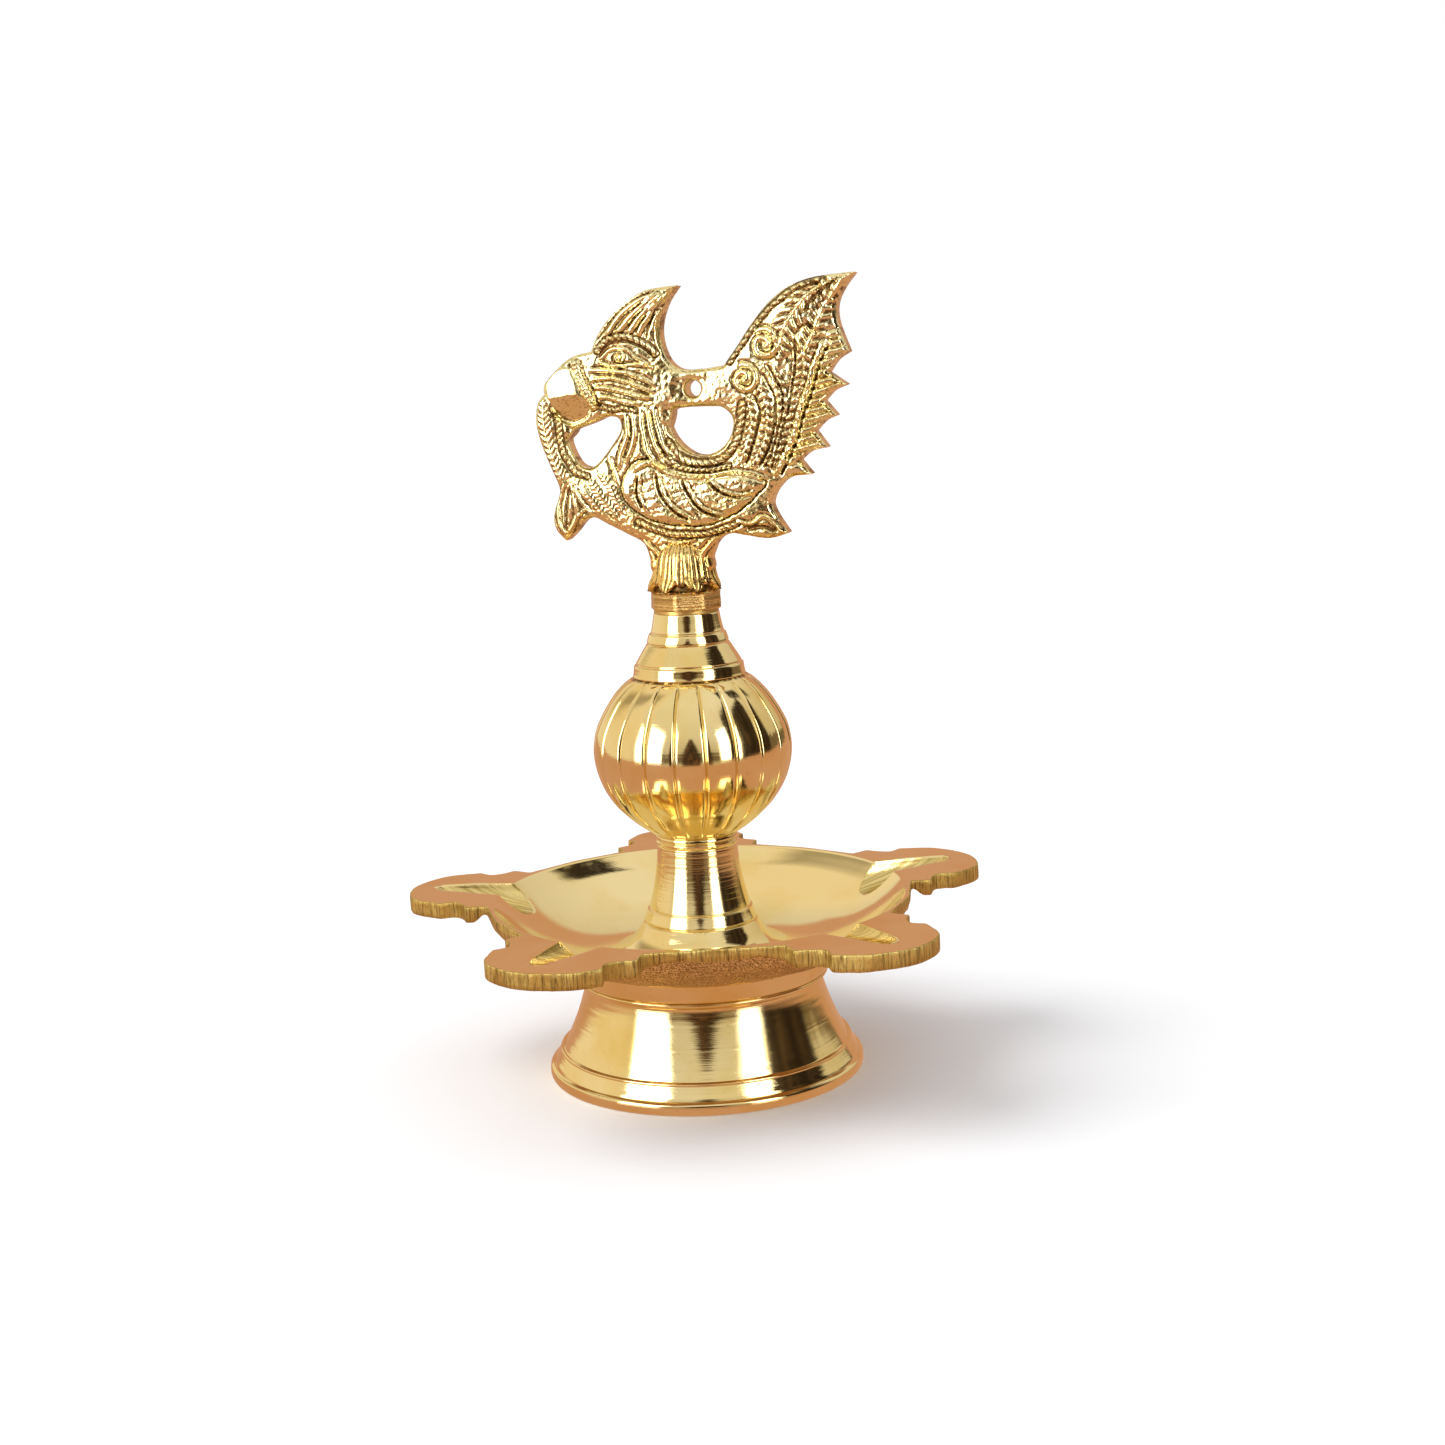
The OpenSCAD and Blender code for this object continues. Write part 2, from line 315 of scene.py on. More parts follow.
def round_row(radius, turn, height):
    """Points round the axis, at one radius and height or at one for each turn."""
    return np.stack([radius * np.cos(turn), radius * np.sin(turn), np.broadcast_to(height, turn.shape)], 1)


def lathe_part(profile, ring=False):
    """A turned part from (radius, height) points that go up on the outside. A ring closes on its start."""
    turn = np.linspace(0, 2 * math.pi, COLUMNS, endpoint=False)
    rows = [round_row(radius, turn, height) for radius, height in profile]
    if ring:
        rows.append(rows[0])
    points, faces = strip(rows)
    return {"points": points, "faces": faces}


def placed(piece, body, node):
    """Stand the piece in for a CAD node, on that node's body."""
    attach(piece, body)
    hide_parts(node)


def place_turned(name, part, material, body, node, sharp=40):
    placed(mesh_piece(name, welded([part]), [material], sharp), body, node)


# ---- materials ----


class Nodes:
    """A few short calls that build a shader's nodes."""

    def __init__(self, tree):
        self.nodes, self.links = tree.nodes, tree.links

    def node(self, kind, inputs=None, **settings):
        made = self.nodes.new(kind)
        for key, value in settings.items():
            setattr(made, key, value)
        for key, value in (inputs or {}).items():
            self.feed(made.inputs[key], value)
        return made

    def feed(self, socket, value):
        if isinstance(value, bpy.types.NodeSocket):
            self.links.new(value, socket)
        else:
            socket.default_value = value

    def math(self, operation, a, b=0.0, c=0.0):
        return self.node("ShaderNodeMath", {0: a, 1: b, 2: c}, operation=operation).outputs[0]

    def times(self, a, b):
        return self.math("MULTIPLY", a, b)

    def span(self, value, low, high, to_low=0.0, to_high=1.0):
        inputs = {"Value": value, "From Min": low, "From Max": high, "To Min": to_low, "To Max": to_high}
        return self.node("ShaderNodeMapRange", inputs).outputs[0]

    def mixed(self, share, a, b):
        return self.node("ShaderNodeMix", {0: share, 6: a, 7: b}, data_type="RGBA").outputs[2]

    def place(self):
        return self.node("ShaderNodeTexCoord").outputs["Object"]

    def parts(self, vector):
        return self.node("ShaderNodeSeparateXYZ", {0: vector}).outputs[:3]

    def noise(self, vector, scale, detail=3.0, roughness=0.5):
        inputs = {"Vector": vector, "Scale": scale, "Detail": detail, "Roughness": roughness}
        return self.node("ShaderNodeTexNoise", inputs).outputs["Fac"]

    def stretched(self, vector, x, y, z):
        return self.node("ShaderNodeVectorMath", {0: vector, 1: (x, y, z)}, operation="MULTIPLY").outputs[0]


class Paint(Nodes):
    """A new material and the calls that only materials need."""

    def __init__(self, name):
        self.material = bpy.data.materials.new(name)
        self.material.use_nodes = True
        super().__init__(self.material.node_tree)

    def grain(self):
        """The vector that a mesh carries for its own material."""
        return self.node("ShaderNodeAttribute", attribute_name="grain").outputs["Vector"]

    def bump(self, height, distance, normal=None, strength=1.0):
        inputs = {"Height": height, "Distance": distance, "Strength": strength}
        if normal is not None:
            inputs["Normal"] = normal
        return self.node("ShaderNodeBump", inputs).outputs["Normal"]

    def rings(self, scale, detail=5.0):
        """Fine lines round the lamp's axis, as a lathe leaves them."""
        x, y, z = self.parts(self.place())
        radius = self.math("SQRT", self.math("ADD", self.times(x, x), self.times(y, y)))
        line = self.math("MULTIPLY_ADD", radius, 0.8, z)
        inputs = {"W": self.times(line, scale), "Scale": 1.0, "Detail": detail, "Roughness": 0.6}
        return self.node("ShaderNodeTexNoise", inputs, noise_dimensions="1D").outputs["Fac"]

    def finish(self, inputs):
        """The material, with these inputs of its shader set or linked."""
        for key, value in inputs.items():
            self.feed(self.nodes["Principled BSDF"].inputs[key], value)
        return self.material

    def metal(self, colour, rough, normal, anisotropic=0.0):
        return self.finish({"Base Color": colour, "Roughness": rough, "Metallic": 1.0, "Normal": normal,
                            "Anisotropic": anisotropic})


# brass from clean to dirty, and the paper under the lamp
PALE = (0.87, 0.74, 0.43, 1)
GOLD = (0.80, 0.60, 0.22, 1)
OLIVE = (0.46, 0.34, 0.12, 1)
BROWN = (0.17, 0.10, 0.035, 1)
PAPER = (0.66, 0.36, 0.22, 1)


def turned_brass(name, line_depth, smooth=0.045, seam=None):
    """Lathe-turned and buffed brass, with fine rings and dull clouds, and dirt above the seam's height."""
    p = Paint(name)
    cloud = p.noise(p.place(), 60, 4)
    speck = p.span(p.noise(p.place(), 900, 2), 0.70, 0.78)
    tint = p.mixed(p.span(cloud, 0.40, 0.75), PALE, GOLD)
    tint = p.mixed(p.times(speck, 0.5), tint, OLIVE)
    if seam:
        at_seam = p.span(p.parts(p.place())[2], seam - 0.0004, seam - 0.0002)
        broken = p.span(p.noise(p.place(), 700, 2), 0.42, 0.50)
        tint = p.mixed(p.times(at_seam, broken), tint, BROWN)
    rings = p.rings(5200)
    rough = p.math("ADD", p.span(cloud, 0.3, 0.7, smooth, smooth + 0.04), p.span(rings, 0.4, 0.7, 0, 0.05))
    coarse = p.bump(p.rings(1100, 3.0), 0.00005, strength=line_depth)
    normal = p.bump(rings, 0.000015, coarse, line_depth)
    return p.metal(tint, rough, normal, anisotropic=0.15)


def polished_brass():
    """The bowl's top: buffed to a mirror, with faint swirls and dull clouds."""
    p = Paint("polished_brass")
    cloud = p.noise(p.place(), 45, 5)
    scratch = p.noise(p.stretched(p.place(), 350, 2600, 900), 1.0, 4)
    tint = p.mixed(p.span(cloud, 0.45, 0.8), PALE, GOLD)
    rough = p.math("ADD", p.span(cloud, 0.3, 0.75, 0.045, 0.10), p.span(scratch, 0.55, 0.8, 0, 0.05))
    wave = p.bump(p.noise(p.place(), 70, 2), 0.00012, strength=0.35)
    normal = p.bump(scratch, 0.00002, wave, 0.35)
    return p.metal(tint, rough, normal)


def ground_brass():
    """Wick channels: ground lengthwise with a coarse wheel."""
    p = Paint("ground_brass")
    grain = p.grain()
    lines = p.noise(p.stretched(grain, 0.03, 1.9, 0), 1.0, 4, 0.6)
    broad = p.noise(p.stretched(grain, 0.03, 0.5, 0), 1.0, 2)
    tint = p.mixed(p.span(lines, 0.40, 0.62), (0.83, 0.69, 0.33, 1), OLIVE)
    rough = p.span(lines, 0.3, 0.7, 0.12, 0.26)
    normal = p.bump(lines, 0.00006, p.bump(broad, 0.00018, strength=0.7), 0.7)
    return p.metal(tint, rough, normal)


def filed_brass():
    """The plate's cut edge: upright file strokes with dirt between them."""
    p = Paint("filed_brass")
    grain = p.grain()
    strokes = p.noise(p.stretched(grain, 1.7, 0.12, 0), 1.0, 5, 0.75)
    cloud = p.noise(p.place(), 130, 3)
    edge = p.mixed(p.span(cloud, 0.35, 0.60), (0.76, 0.63, 0.22, 1), (0.60, 0.44, 0.13, 1))
    tint = p.mixed(p.span(strokes, 0.47, 0.62, 0, 0.9), edge, BROWN)
    rough = p.span(strokes, 0.35, 0.7, 0.30, 0.50)
    normal = p.bump(strokes, 0.00035, strength=1.0)
    return p.metal(tint, rough, normal)


def cast_brass():
    """The bowl's underside as it came from the sand: grainy, brown and dull."""
    p = Paint("sand_cast_brass")
    grit = p.noise(p.place(), 2500, 2, 0.6)
    cloud = p.noise(p.place(), 90, 4)
    worn = p.times(p.span(grit, 0.44, 0.56), p.span(cloud, 0.3, 0.7, 0.45, 1.0))
    tint = p.mixed(worn, (0.30, 0.18, 0.06, 1), (0.98, 0.76, 0.38, 1))
    normal = p.bump(grit, 0.00007, strength=1.0)
    return p.metal(tint, p.span(grit, 0.35, 0.65, 0.60, 0.42), normal)


def relief_brass():
    """The finial: lighter and smoother on the raised relief, darker and rougher down in its lines, filed on the
    collar.
    """
    p = Paint("relief_brass")
    recess, raised, worked = p.parts(p.grain())
    grit = p.noise(p.place(), 1500, 4, 0.6)
    cloud = p.noise(p.place(), 150, 3)
    deep = p.span(p.math("ADD", recess, p.span(grit, 0.3, 0.7, -0.30, 0.42)), 0.32, 0.72)
    height = p.parts(p.place())[2]  # in the lamp's frame
    tint = p.mixed(p.span(cloud, 0.35, 0.65), (0.92, 0.86, 0.56, 1), (0.88, 0.77, 0.40, 1))
    # painted reflection: the finial's lower part is tinted orange-gold, fading out between 130 and 146 mm up,
    # in place of the warm paper's reflection
    tint = p.mixed(p.span(height, 0.130, 0.146, 0.9, 0), tint, (0.84, 0.55, 0.17, 1))
    tint = p.mixed(p.span(grit, 0.53, 0.66, 0, 0.85), tint, OLIVE)
    tint = p.mixed(deep, tint, BROWN)
    file_lines = p.noise(p.stretched(p.place(), 90, 90, 2300), 1.0, 4, 0.65)
    filed = p.mixed(p.span(file_lines, 0.40, 0.62), (0.80, 0.60, 0.26, 1), (0.40, 0.26, 0.09, 1))
    tint = p.mixed(p.times(worked, 0.9), tint, filed)
    rough = p.math("ADD", p.span(grit, 0.3, 0.7, 0.07, 0.13), p.times(deep, 0.22))
    rough = p.math("SUBTRACT", rough, p.times(raised, 0.05))
    smooth = p.math("SUBTRACT", 1.0, worked)
    pitted = p.bump(p.times(grit, smooth), 0.00009, strength=0.8)
    normal = p.bump(p.times(file_lines, worked), 0.00025, pitted)
    return p.metal(tint, rough, normal)


def plain_brass():
    """Hidden hardware: drawn brass bar, a little dull."""
    p = Paint("drawn_brass")
    cloud = p.noise(p.place(), 200, 4)
    tint = p.mixed(p.span(cloud, 0.35, 0.7), GOLD, OLIVE)
    return p.metal(tint, p.span(cloud, 0.3, 0.7, 0.24, 0.42), p.bump(p.rings(3800), 0.00006, strength=0.7))


def hide():
    """The oiled hide washer between bowl and stem."""
    p = Paint("oiled_hide")
    pores = p.noise(p.place(), 1800, 5, 0.6)
    tint = p.mixed(p.span(pores, 0.35, 0.65), (0.14, 0.06, 0.025, 1), (0.30, 0.15, 0.07, 1))
    rough = p.span(pores, 0.3, 0.7, 0.45, 0.7)
    return p.finish({"Base Color": tint, "Roughness": rough, "Normal": p.bump(pores, 0.0002, strength=0.8)})


# ---- turned pieces ----


def make_foot():
    """A hollow bell: rim, bead, concave side and a web that the stud clamps."""
    web = FOOT_TOP - 3.2
    outer = joined([
        eased([(38.2, 0.25), (38.6, 0), (40.2, 0), (40.7, 0.5), (40.75, 1.6), (40.6, 2.7), (39.9, 3.25),
               (39.5, 3.3)], 0.35),
        eased([(39.5, 3.3), (39.35, 3.65), (39.25, 3.9)], 0.1),
        curve([(39.25, 3.9), (38.5, 5.15), (37.75, 6.5)], 5),
        eased([(37.75, 6.5), (37.85, 6.75), (37.75, 7.1), (37.4, 7.25), (37.0, 7.2), (36.8, 7.35)], 0.15),
        curve([(36.8, 7.35), (36.6, 7.7), (35.2, 10.4), (33.6, 14.0), (32.4, 17.2), (31.8, 19.0),
               (31.2, 21.0), (30.75, 23.4), (30.85, 24.0)], 7),
        eased([(30.85, 24.0), (31.2, 24.35), (31.9, 24.5), (32.25, 24.8), (32.25, 25.3),
               (32.0, FOOT_TOP), (CLEAR_R, FOOT_TOP), (CLEAR_R, web), (28.2, web)], 0.2),
        curve([(28.2, web), (29.2, 18.0), (30.6, 14.2), (32.6, 10.2), (34.8, 6.6), (38.2, 1.6)], 5),
        [(38.2, 1.6), (38.2, 0.25)],
    ])
    part = lathe_part(outer[:-1], ring=True)
    place_turned("foot_shell", part, turned_brass("foot_brass", 0.85), "base", "foot")


def make_stem():
    """A trumpet with two turned lines, bored at both ends."""
    bottom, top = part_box("stem")[0].z / MM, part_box("stem")[1].z / MM
    profile = joined([
        [(0, 43.1), (4.05, 43.1), (4.05, bottom), (21.6, bottom)],
        eased([(21.6, bottom), (22.1, 31.55), (22.25, 31.9), (21.9, 32.25), (21.3, 32.4)], 0.15),
        curve([(21.3, 32.4), (19.2, 33.4), (17.2, 35.3), (15.6, 37.6), (14.75, 38.85)], 7),
        eased([(14.75, 38.85), (14.55, 39.0), (14.3, 39.05), (14.3, 39.35), (14.55, 39.5),
               (14.45, 39.85)], 0.1),
        curve([(14.45, 39.85), (14.0, 40.9), (13.6, 42.0)], 4),
        eased([(13.6, 42.0), (13.5, 42.35), (13.1, 42.45), (12.9, 42.6), (13.0, 42.85), (12.95, 43.1)], 0.1),
        curve([(12.95, 43.1), (11.9, 47.2), (11.0, 52.0), (10.5, 56.0), (10.2, top - 0.15)], 8),
        eased([(10.2, top - 0.15), (10.05, top), (3.05, top), (3.05, 49.6), (0, 49.6)], 0.1),
    ])
    place_turned("stem_turning", lathe_part(profile), turned_brass("stem_brass", 0.8), "column", "stem")


def make_collar():
    low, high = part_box("ball_collar")[0].z / MM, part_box("ball_collar")[1].z / MM
    mid = (low + high) / 2
    outer = [(10.35, low), (10.65, low + 0.3), (10.65, mid - 0.3), (10.25, mid - 0.05),
             (10.3, mid + 0.15), (10.6, mid + 0.4), (10.5, high - 0.25), (10.3, high), (3.3, high),
             (3.3, low), (10.35, low)]
    part = lathe_part(eased(outer, 0.12)[:-1], ring=True)
    place_turned("collar_ring", part, turned_brass("collar_brass", 0.6), "column", "ball_collar")


def make_neck():
    """Shoulder band, cone, ring and a short taper, bored at both ends."""
    low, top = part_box("neck")[0].z / MM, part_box("neck")[1].z / MM
    profile = joined([
        [(0, 108.4), (3.05, 108.4), (3.05, low), (13.9, low)],
        eased([(13.9, low), (14.2, low + 0.1), (14.3, low + 0.45), (14.15, low + 0.8)], 0.12),
        curve([(14.15, low + 0.8), (14.0, 104.4), (13.9, 105.3)], 3),
        eased([(13.9, 105.3), (13.7, 105.6), (13.3, 105.7), (13.25, 106.0), (13.3, 106.2),
               (13.1, 106.5)], 0.1),
        curve([(13.1, 106.5), (11.9, 108.5), (10.5, 110.75)], 6),
        eased([(10.5, 110.75), (10.15, 110.9), (10.05, 111.1), (10.35, 111.3), (10.3, 111.6)], 0.1),
        [(10.3, 111.6), (9.85, 113.1)],
        eased([(9.85, 113.1), (9.7, 113.35), (9.3, 113.5), (9.15, 113.7), (9.25, 113.95),
               (9.1, 114.2)], 0.1),
        curve([(9.1, 114.2), (8.65, 116.4), (8.3, top - 0.15)], 5),
        eased([(8.3, top - 0.15), (8.15, top), (4.05, top), (4.05, 111.5), (0, 111.5)], 0.1),
    ])
    place_turned("neck_turning", lathe_part(profile), turned_brass("neck_brass", 0.6), "column", "neck")


def make_ball():
    """Twenty convex gores with a narrow cut flute between each pair."""
    side = curve([(10.4, BALL_LOW), (13.6, 64.0), (16.8, 66.7), (20.6, 70.7), (23.5, 75.8), (25.0, 82.0),
                  (24.6, 87.6), (23.0, 92.0), (19.7, 97.4), (16.4, 101.0), (14.3, BALL_HIGH)], 9)
    half = np.array([0.22, 0.45, 0.66, 0.8, 0.88, 0.93, 0.965])  # denser toward the flutes
    across = np.concatenate([[-1], -half[::-1], [0], half])
    gore = 2 * math.pi / FLUTES
    turn = FLUTE_TURN + np.concatenate([(k + across / 2) * gore for k in range(FLUTES)])
    share = np.tile(np.abs(across), FLUTES)
    wobble = np.repeat(np.random.default_rng(4).uniform(0.75, 1.25, FLUTES), len(across))
    rows = []
    for radius, height in side:
        up = (height - BALL_LOW) / (BALL_HIGH - BALL_LOW)
        fade = min(1, up / 0.10, (1 - up) / 0.05)
        gap = (1 - share) * gore / 2 * radius
        crown = 0.20 * (1 - share**2) * fade
        cut = 0.50 * bell(gap, 0.30) * fade * wobble
        rows.append(round_row(radius + crown - cut, turn, height))
    wall = 2
    inside_line = [(r - wall, z) for r, z in side[::-1] if r > 13]
    for radius, height in [(10.2, BALL_HIGH), *inside_line, (7, 63.8), (7, BALL_LOW)]:
        rows.append(round_row(radius, turn, height))
    rows.append(rows[0])
    points, faces = strip(rows)
    material = turned_brass("ball_brass", 0.25, 0.07, BALL_HIGH * MM)
    place_turned("fluted_ball", {"points": points, "faces": faces}, material, "column", "ball", sharp=60)


# ---- bowl ----

GAP_END = (52.6, 18.2)
STEP_CORNER = (57.6, 19.9)
SCALLOP = [(60.0, 16.6), (62.8, 15.0)]
LOBE_CORNER = (66.2, 16.8)
LOBE_SIDE = (74.6, 11.6)
TIP = (78.5, 0)
GAP_MID_R = 54.6
HAND_CUT = [1.03, 0.985, 0.995, 0.995, 0.985]  # size of the steps on each side of a spout
OUTLINE_STEP = 0.35
CAVITY = curve([(0, FLOOR_Z), (14, FLOOR_Z), (21, 30.5), (25, 30.8), (30, 31.7), (35, 33.2), (40, 35.4),
                (44.5, 38.1), (48.5, 41.2), (51.3, 43.9), (53.0, 45.7), (54.4, 47.4), (56, 49.6)], 12)
UNDER = curve([(BODY_R, BODY_Z), (40.5, 32.9), (46.5, 35.9), (51.5, 39.4), (53.6, 41.8), (56, 45),
               (58, 48.5)], 8)


def spout_angle(number):
    return math.radians(-54 + 72 * number)


def flipped(points):
    return [(x, -y) for x, y in points][::-1]


def plate_outline():
    """The plate's cut outline, from the five spouts' lobes, scallops and gaps."""
    runs = []
    for i in range(SPOUTS):
        before, after = HAND_CUT[i], HAND_CUT[(i + 1) % SPOUTS]
        turn = spout_angle(i)
        spin = np.array([[math.cos(turn), math.sin(turn)], [-math.sin(turn), math.cos(turn)]])
        size = lambda points, k: (np.array(points) * k).tolist()
        side = [STEP_CORNER, *SCALLOP, LOBE_CORNER]
        mid = (GAP_MID_R * math.cos(math.pi / SPOUTS), GAP_MID_R * math.sin(math.pi / SPOUTS))
        lobe = flipped(size([LOBE_CORNER], before)) + [(LOBE_SIDE[0], -LOBE_SIDE[1]), TIP, LOBE_SIDE]
        straight = [
            [(mid[0], -mid[1]), *flipped(size([GAP_END], before))],
            flipped(size([STEP_CORNER, GAP_END], before)),
            curve(flipped(size(side[::-1], before)), 6),
            curve(lobe + size([LOBE_CORNER], after), 10),
            curve(size(side[::-1], after), 6),
            size([STEP_CORNER, GAP_END], after),
            [*size([GAP_END], after), mid],
        ]
        runs += [np.asarray(run, float) @ spin for run in straight]
    return anticlockwise(relaxed(closed(runs, OUTLINE_STEP), 1.1))


def in_spout(x, y, number):
    """(along, across) of a point in a spout's own frame."""
    turn = spout_angle(number)
    return x * math.cos(turn) + y * math.sin(turn), y * math.cos(turn) - x * math.sin(turn)


def from_spout(along, across, number):
    """The point with that place in a spout's own frame."""
    turn = spout_angle(number)
    return along * math.cos(turn) - across * math.sin(turn), along * math.sin(turn) + across * math.cos(turn)


def channel_share(along):
    """0 at a channel's pointed end, 1 a full channel's length inward."""
    return (CHANNEL_TIP - along) / CHANNEL_LENGTH


def bud_radius(share):
    """Depth of a channel, and half width of the keel under it."""
    return CHANNEL_R * np.clip(share, 0, None) ** 0.72 * (1.28 - 0.28 * np.clip(share, 0, 1.2))


def bud_width(share):
    """Half width of a channel where it opens in the plate, a little more than its depth."""
    return CHANNEL_R * np.clip(share, 0, None) ** 0.52 * (1.14 - 0.12 * np.clip(share, 0, 1.2))


def channel_level(x, y):
    """The ground channels' surface. It climbs away above the plate outside them."""
    level = np.full(np.shape(x), 1e3)
    for i in range(SPOUTS):
        along, across = in_spout(x, y, i)
        share = channel_share(along)
        held = np.clip(share, 1e-4, 1.2)
        wide = bud_width(held)
        own = PLATE_TOP - bud_radius(held) * (1 - unit(np.abs(across) / wide) ** 2.4) ** 0.62
        own += 2.5 * np.clip(np.abs(across) - wide, 0, None) + 3 * np.clip(-share, 0, None) * CHANNEL_LENGTH
        level = np.minimum(level, np.where(along > SPOUT_START, own, 1e3))
    return level


def cavity_level(x, y):
    return np.interp(np.hypot(x, y), *CAVITY.T)


def top_level(x, y):
    land = PLATE_TOP + 0.03 * noise_field(x, y, 9, 3) - 0.02
    return smooth_min(smooth_min(land, cavity_level(x, y), 0.45), channel_level(x, y), 0.5)


def top_normal(x, y):
    reach = 0.12
    slope_x = (top_level(x + reach, y) - top_level(x - reach, y)) / (2 * reach)
    slope_y = (top_level(x, y + reach) - top_level(x, y - reach)) / (2 * reach)
    normal = np.stack([-slope_x, -slope_y, np.ones_like(slope_x)], 1)
    return normal / np.linalg.norm(normal, axis=1)[:, None]


def edge_thickness(x, y):
    """The plate is thick at the spouts and thin along the gaps."""
    return THIN_EDGE + (PLATE_T - THIN_EDGE) * swept(unit((np.hypot(x, y) - 55.2) / 3.2))


def under_level(x, y):
    """The cast underside: plate, bowl body and the keels behind the channels."""
    low = smooth_min(PLATE_TOP - edge_thickness(x, y), np.interp(np.hypot(x, y), *UNDER.T), 1.0)
    for i in range(SPOUTS):
        along, across = in_spout(x, y, i)
        share = channel_share(along)
        wide = bud_radius(np.clip(share, 0, 1.2)) + KEEL_WALL
        keel = PLATE_TOP - np.sqrt(np.clip(wide**2 - across**2, 0, None))
        near = (share > 0) & (np.abs(across) < wide) & (along > SPOUT_START)
        low = np.where(near, smooth_min(low, keel, 0.9), low)
    grit = grit_field(x, y, (0.10, 1.5, 11), (0.07, 0.8, 12), (0.12, 5, 13))
    return low + grit * unit((np.hypot(x, y) - BODY_R) / 1.5)


def mouth_line(number):
    """Where a channel breaks into the cavity, found across the channel's width."""
    points = []
    for part in np.linspace(-0.995, 0.995, 61):
        low, high = 0.0, 1.1
        for _ in range(30):
            share = (low + high) / 2
            x, y = from_spout(CHANNEL_TIP - share * CHANNEL_LENGTH, part * bud_width(share), number)
            if cavity_level(x, y) > channel_level(np.array([x]), np.array([y]))[0]:
                low = share
            else:
                high = share
        points.append((x, y))
    return np.array(points)


def top_points(edge):
    """Places for the top surface's points: dense at the rim and channels, wide apart on the flat."""
    rims = [circle(r, 660) for r in (53.55, 53.15, 52.85, 52.55, 52.1, 51.4)]
    mouths, channels = [], []
    for i in range(SPOUTS):
        line = mouth_line(i)
        mouths += [line + np.array(from_spout(off, 0, i)) for off in (0, -0.3, 0.3, -0.7, 0.7)]
        for share in np.linspace(0.004, 1.0, 70):
            for part in (0, 0.2, 0.4, 0.58, 0.72, 0.83, 0.91, 0.965, 1, 1.04):
                for across in (-part * bud_width(share), part * bud_width(share)):
                    channels.append(from_spout(CHANNEL_TIP - share * CHANNEL_LENGTH, across, i))
    rings = [circle(r, max(48, int(2 * math.pi * r))) for r in np.arange(5.4, LAND_R)]
    grid = hex_grid((-80, -80), (80, 80), 1.5)
    channels = np.unique(np.round(channels, 4), axis=0)
    points = gathered([edge, np.vstack(mouths), np.vstack(rims), channels], 0.17)
    points = gathered([points, (edge - outward(edge) * 0.7)[::2]], 0.35)
    points = gathered([points, np.vstack(rings)], 0.5)
    points = gathered([points, grid[np.hypot(*grid.T) > LAND_R]], 0.8)
    points = points[len(edge):]
    points = points[inside(points, edge)]
    return points[gap_to(points, edge) > 0.16]


def bowl_top(edge):
    """Everything seen from above: the land, the cavity and the ground channels."""
    points, triangles = triangulated([edge, circle(CLEAR_R, COLUMNS)], top_points(edge))
    x, y = points.T
    grain = np.zeros((len(points), 3))
    for i in range(SPOUTS):
        along, across = in_spout(x, y, i)
        mine = along > SPOUT_START
        bend = across * (1 + 0.012 * (CHANNEL_TIP - along))
        grain[mine] = np.stack([along + 90 * i, bend + 40 * i, np.zeros_like(along)], 1)[mine]
    middle = points[triangles].mean(axis=1)
    ground = channel_level(*middle.T) < np.minimum(cavity_level(*middle.T), PLATE_TOP - 0.1)
    return {"points": np.column_stack([points, top_level(x, y)]), "faces": triangles,
            "kind": np.where(ground, GROUND, POLISHED), "normals": top_normal(x, y), "grain": grain}


def bowl_side(outline, edge, foot_edge):
    """The plate's cut edge, with the file's strokes in it."""
    count = len(outline)
    random = np.random.default_rng(21)
    strokes = np.convolve(random.normal(0, 1, count + 4), [0.2, 0.6, 0.2], "same")[2:-2]
    broad = np.convolve(np.tile(random.normal(0, 1, count), 3), np.ones(9) / 9, "same")[count:2 * count]
    out = outward(outline)
    wall = outline + out * (0.055 * strokes + 0.16 * broad)[:, None]
    low = PLATE_TOP - edge_thickness(*outline.T)
    lip = 0.34  # height of the worn corner at top and bottom

    def ring(line, height):
        return np.column_stack([line, np.broadcast_to(height, count)])

    rows = [ring(edge, top_level(*edge.T)), ring((edge + 3 * wall) / 4, PLATE_TOP - 0.07),
            ring(wall, PLATE_TOP - lip)]
    for share in (0.25, 0.5, 0.75):
        lean = 0.05 * np.roll(strokes, int(3 * share))[:, None] * out
        rows.append(ring(wall + lean, PLATE_TOP - lip + share * (low + lip + lip - PLATE_TOP)))
    rows += [ring(wall, low + lip), ring((foot_edge + 2 * wall) / 3, low + 0.08)]
    rows.append(ring(foot_edge, under_level(*foot_edge.T)))
    points, faces = strip(rows[::-1])
    place = np.concatenate([[0], np.cumsum(np.hypot(*np.diff(outline, axis=0).T))])
    grain = np.column_stack([np.tile(place, len(rows)), points[:, 2], np.zeros(len(points))])
    return {"points": points, "faces": faces, "kind": FILED, "grain": grain}


def bowl_under(foot_edge):
    """The cast underside, out to the plate's lower edge."""
    inner = hex_grid((-80, -80), (80, 80), 0.95)
    inner = inner[np.hypot(*inner.T) > BODY_R + 0.4]
    inner = inner[inside(inner, foot_edge)]
    inner = inner[gap_to(inner, foot_edge) > 0.4]
    points, triangles = triangulated([foot_edge, circle(BODY_R, COLUMNS)], inner)
    return {"points": np.column_stack([points, under_level(*points.T)]), "faces": triangles[:, ::-1],
            "kind": CAST}


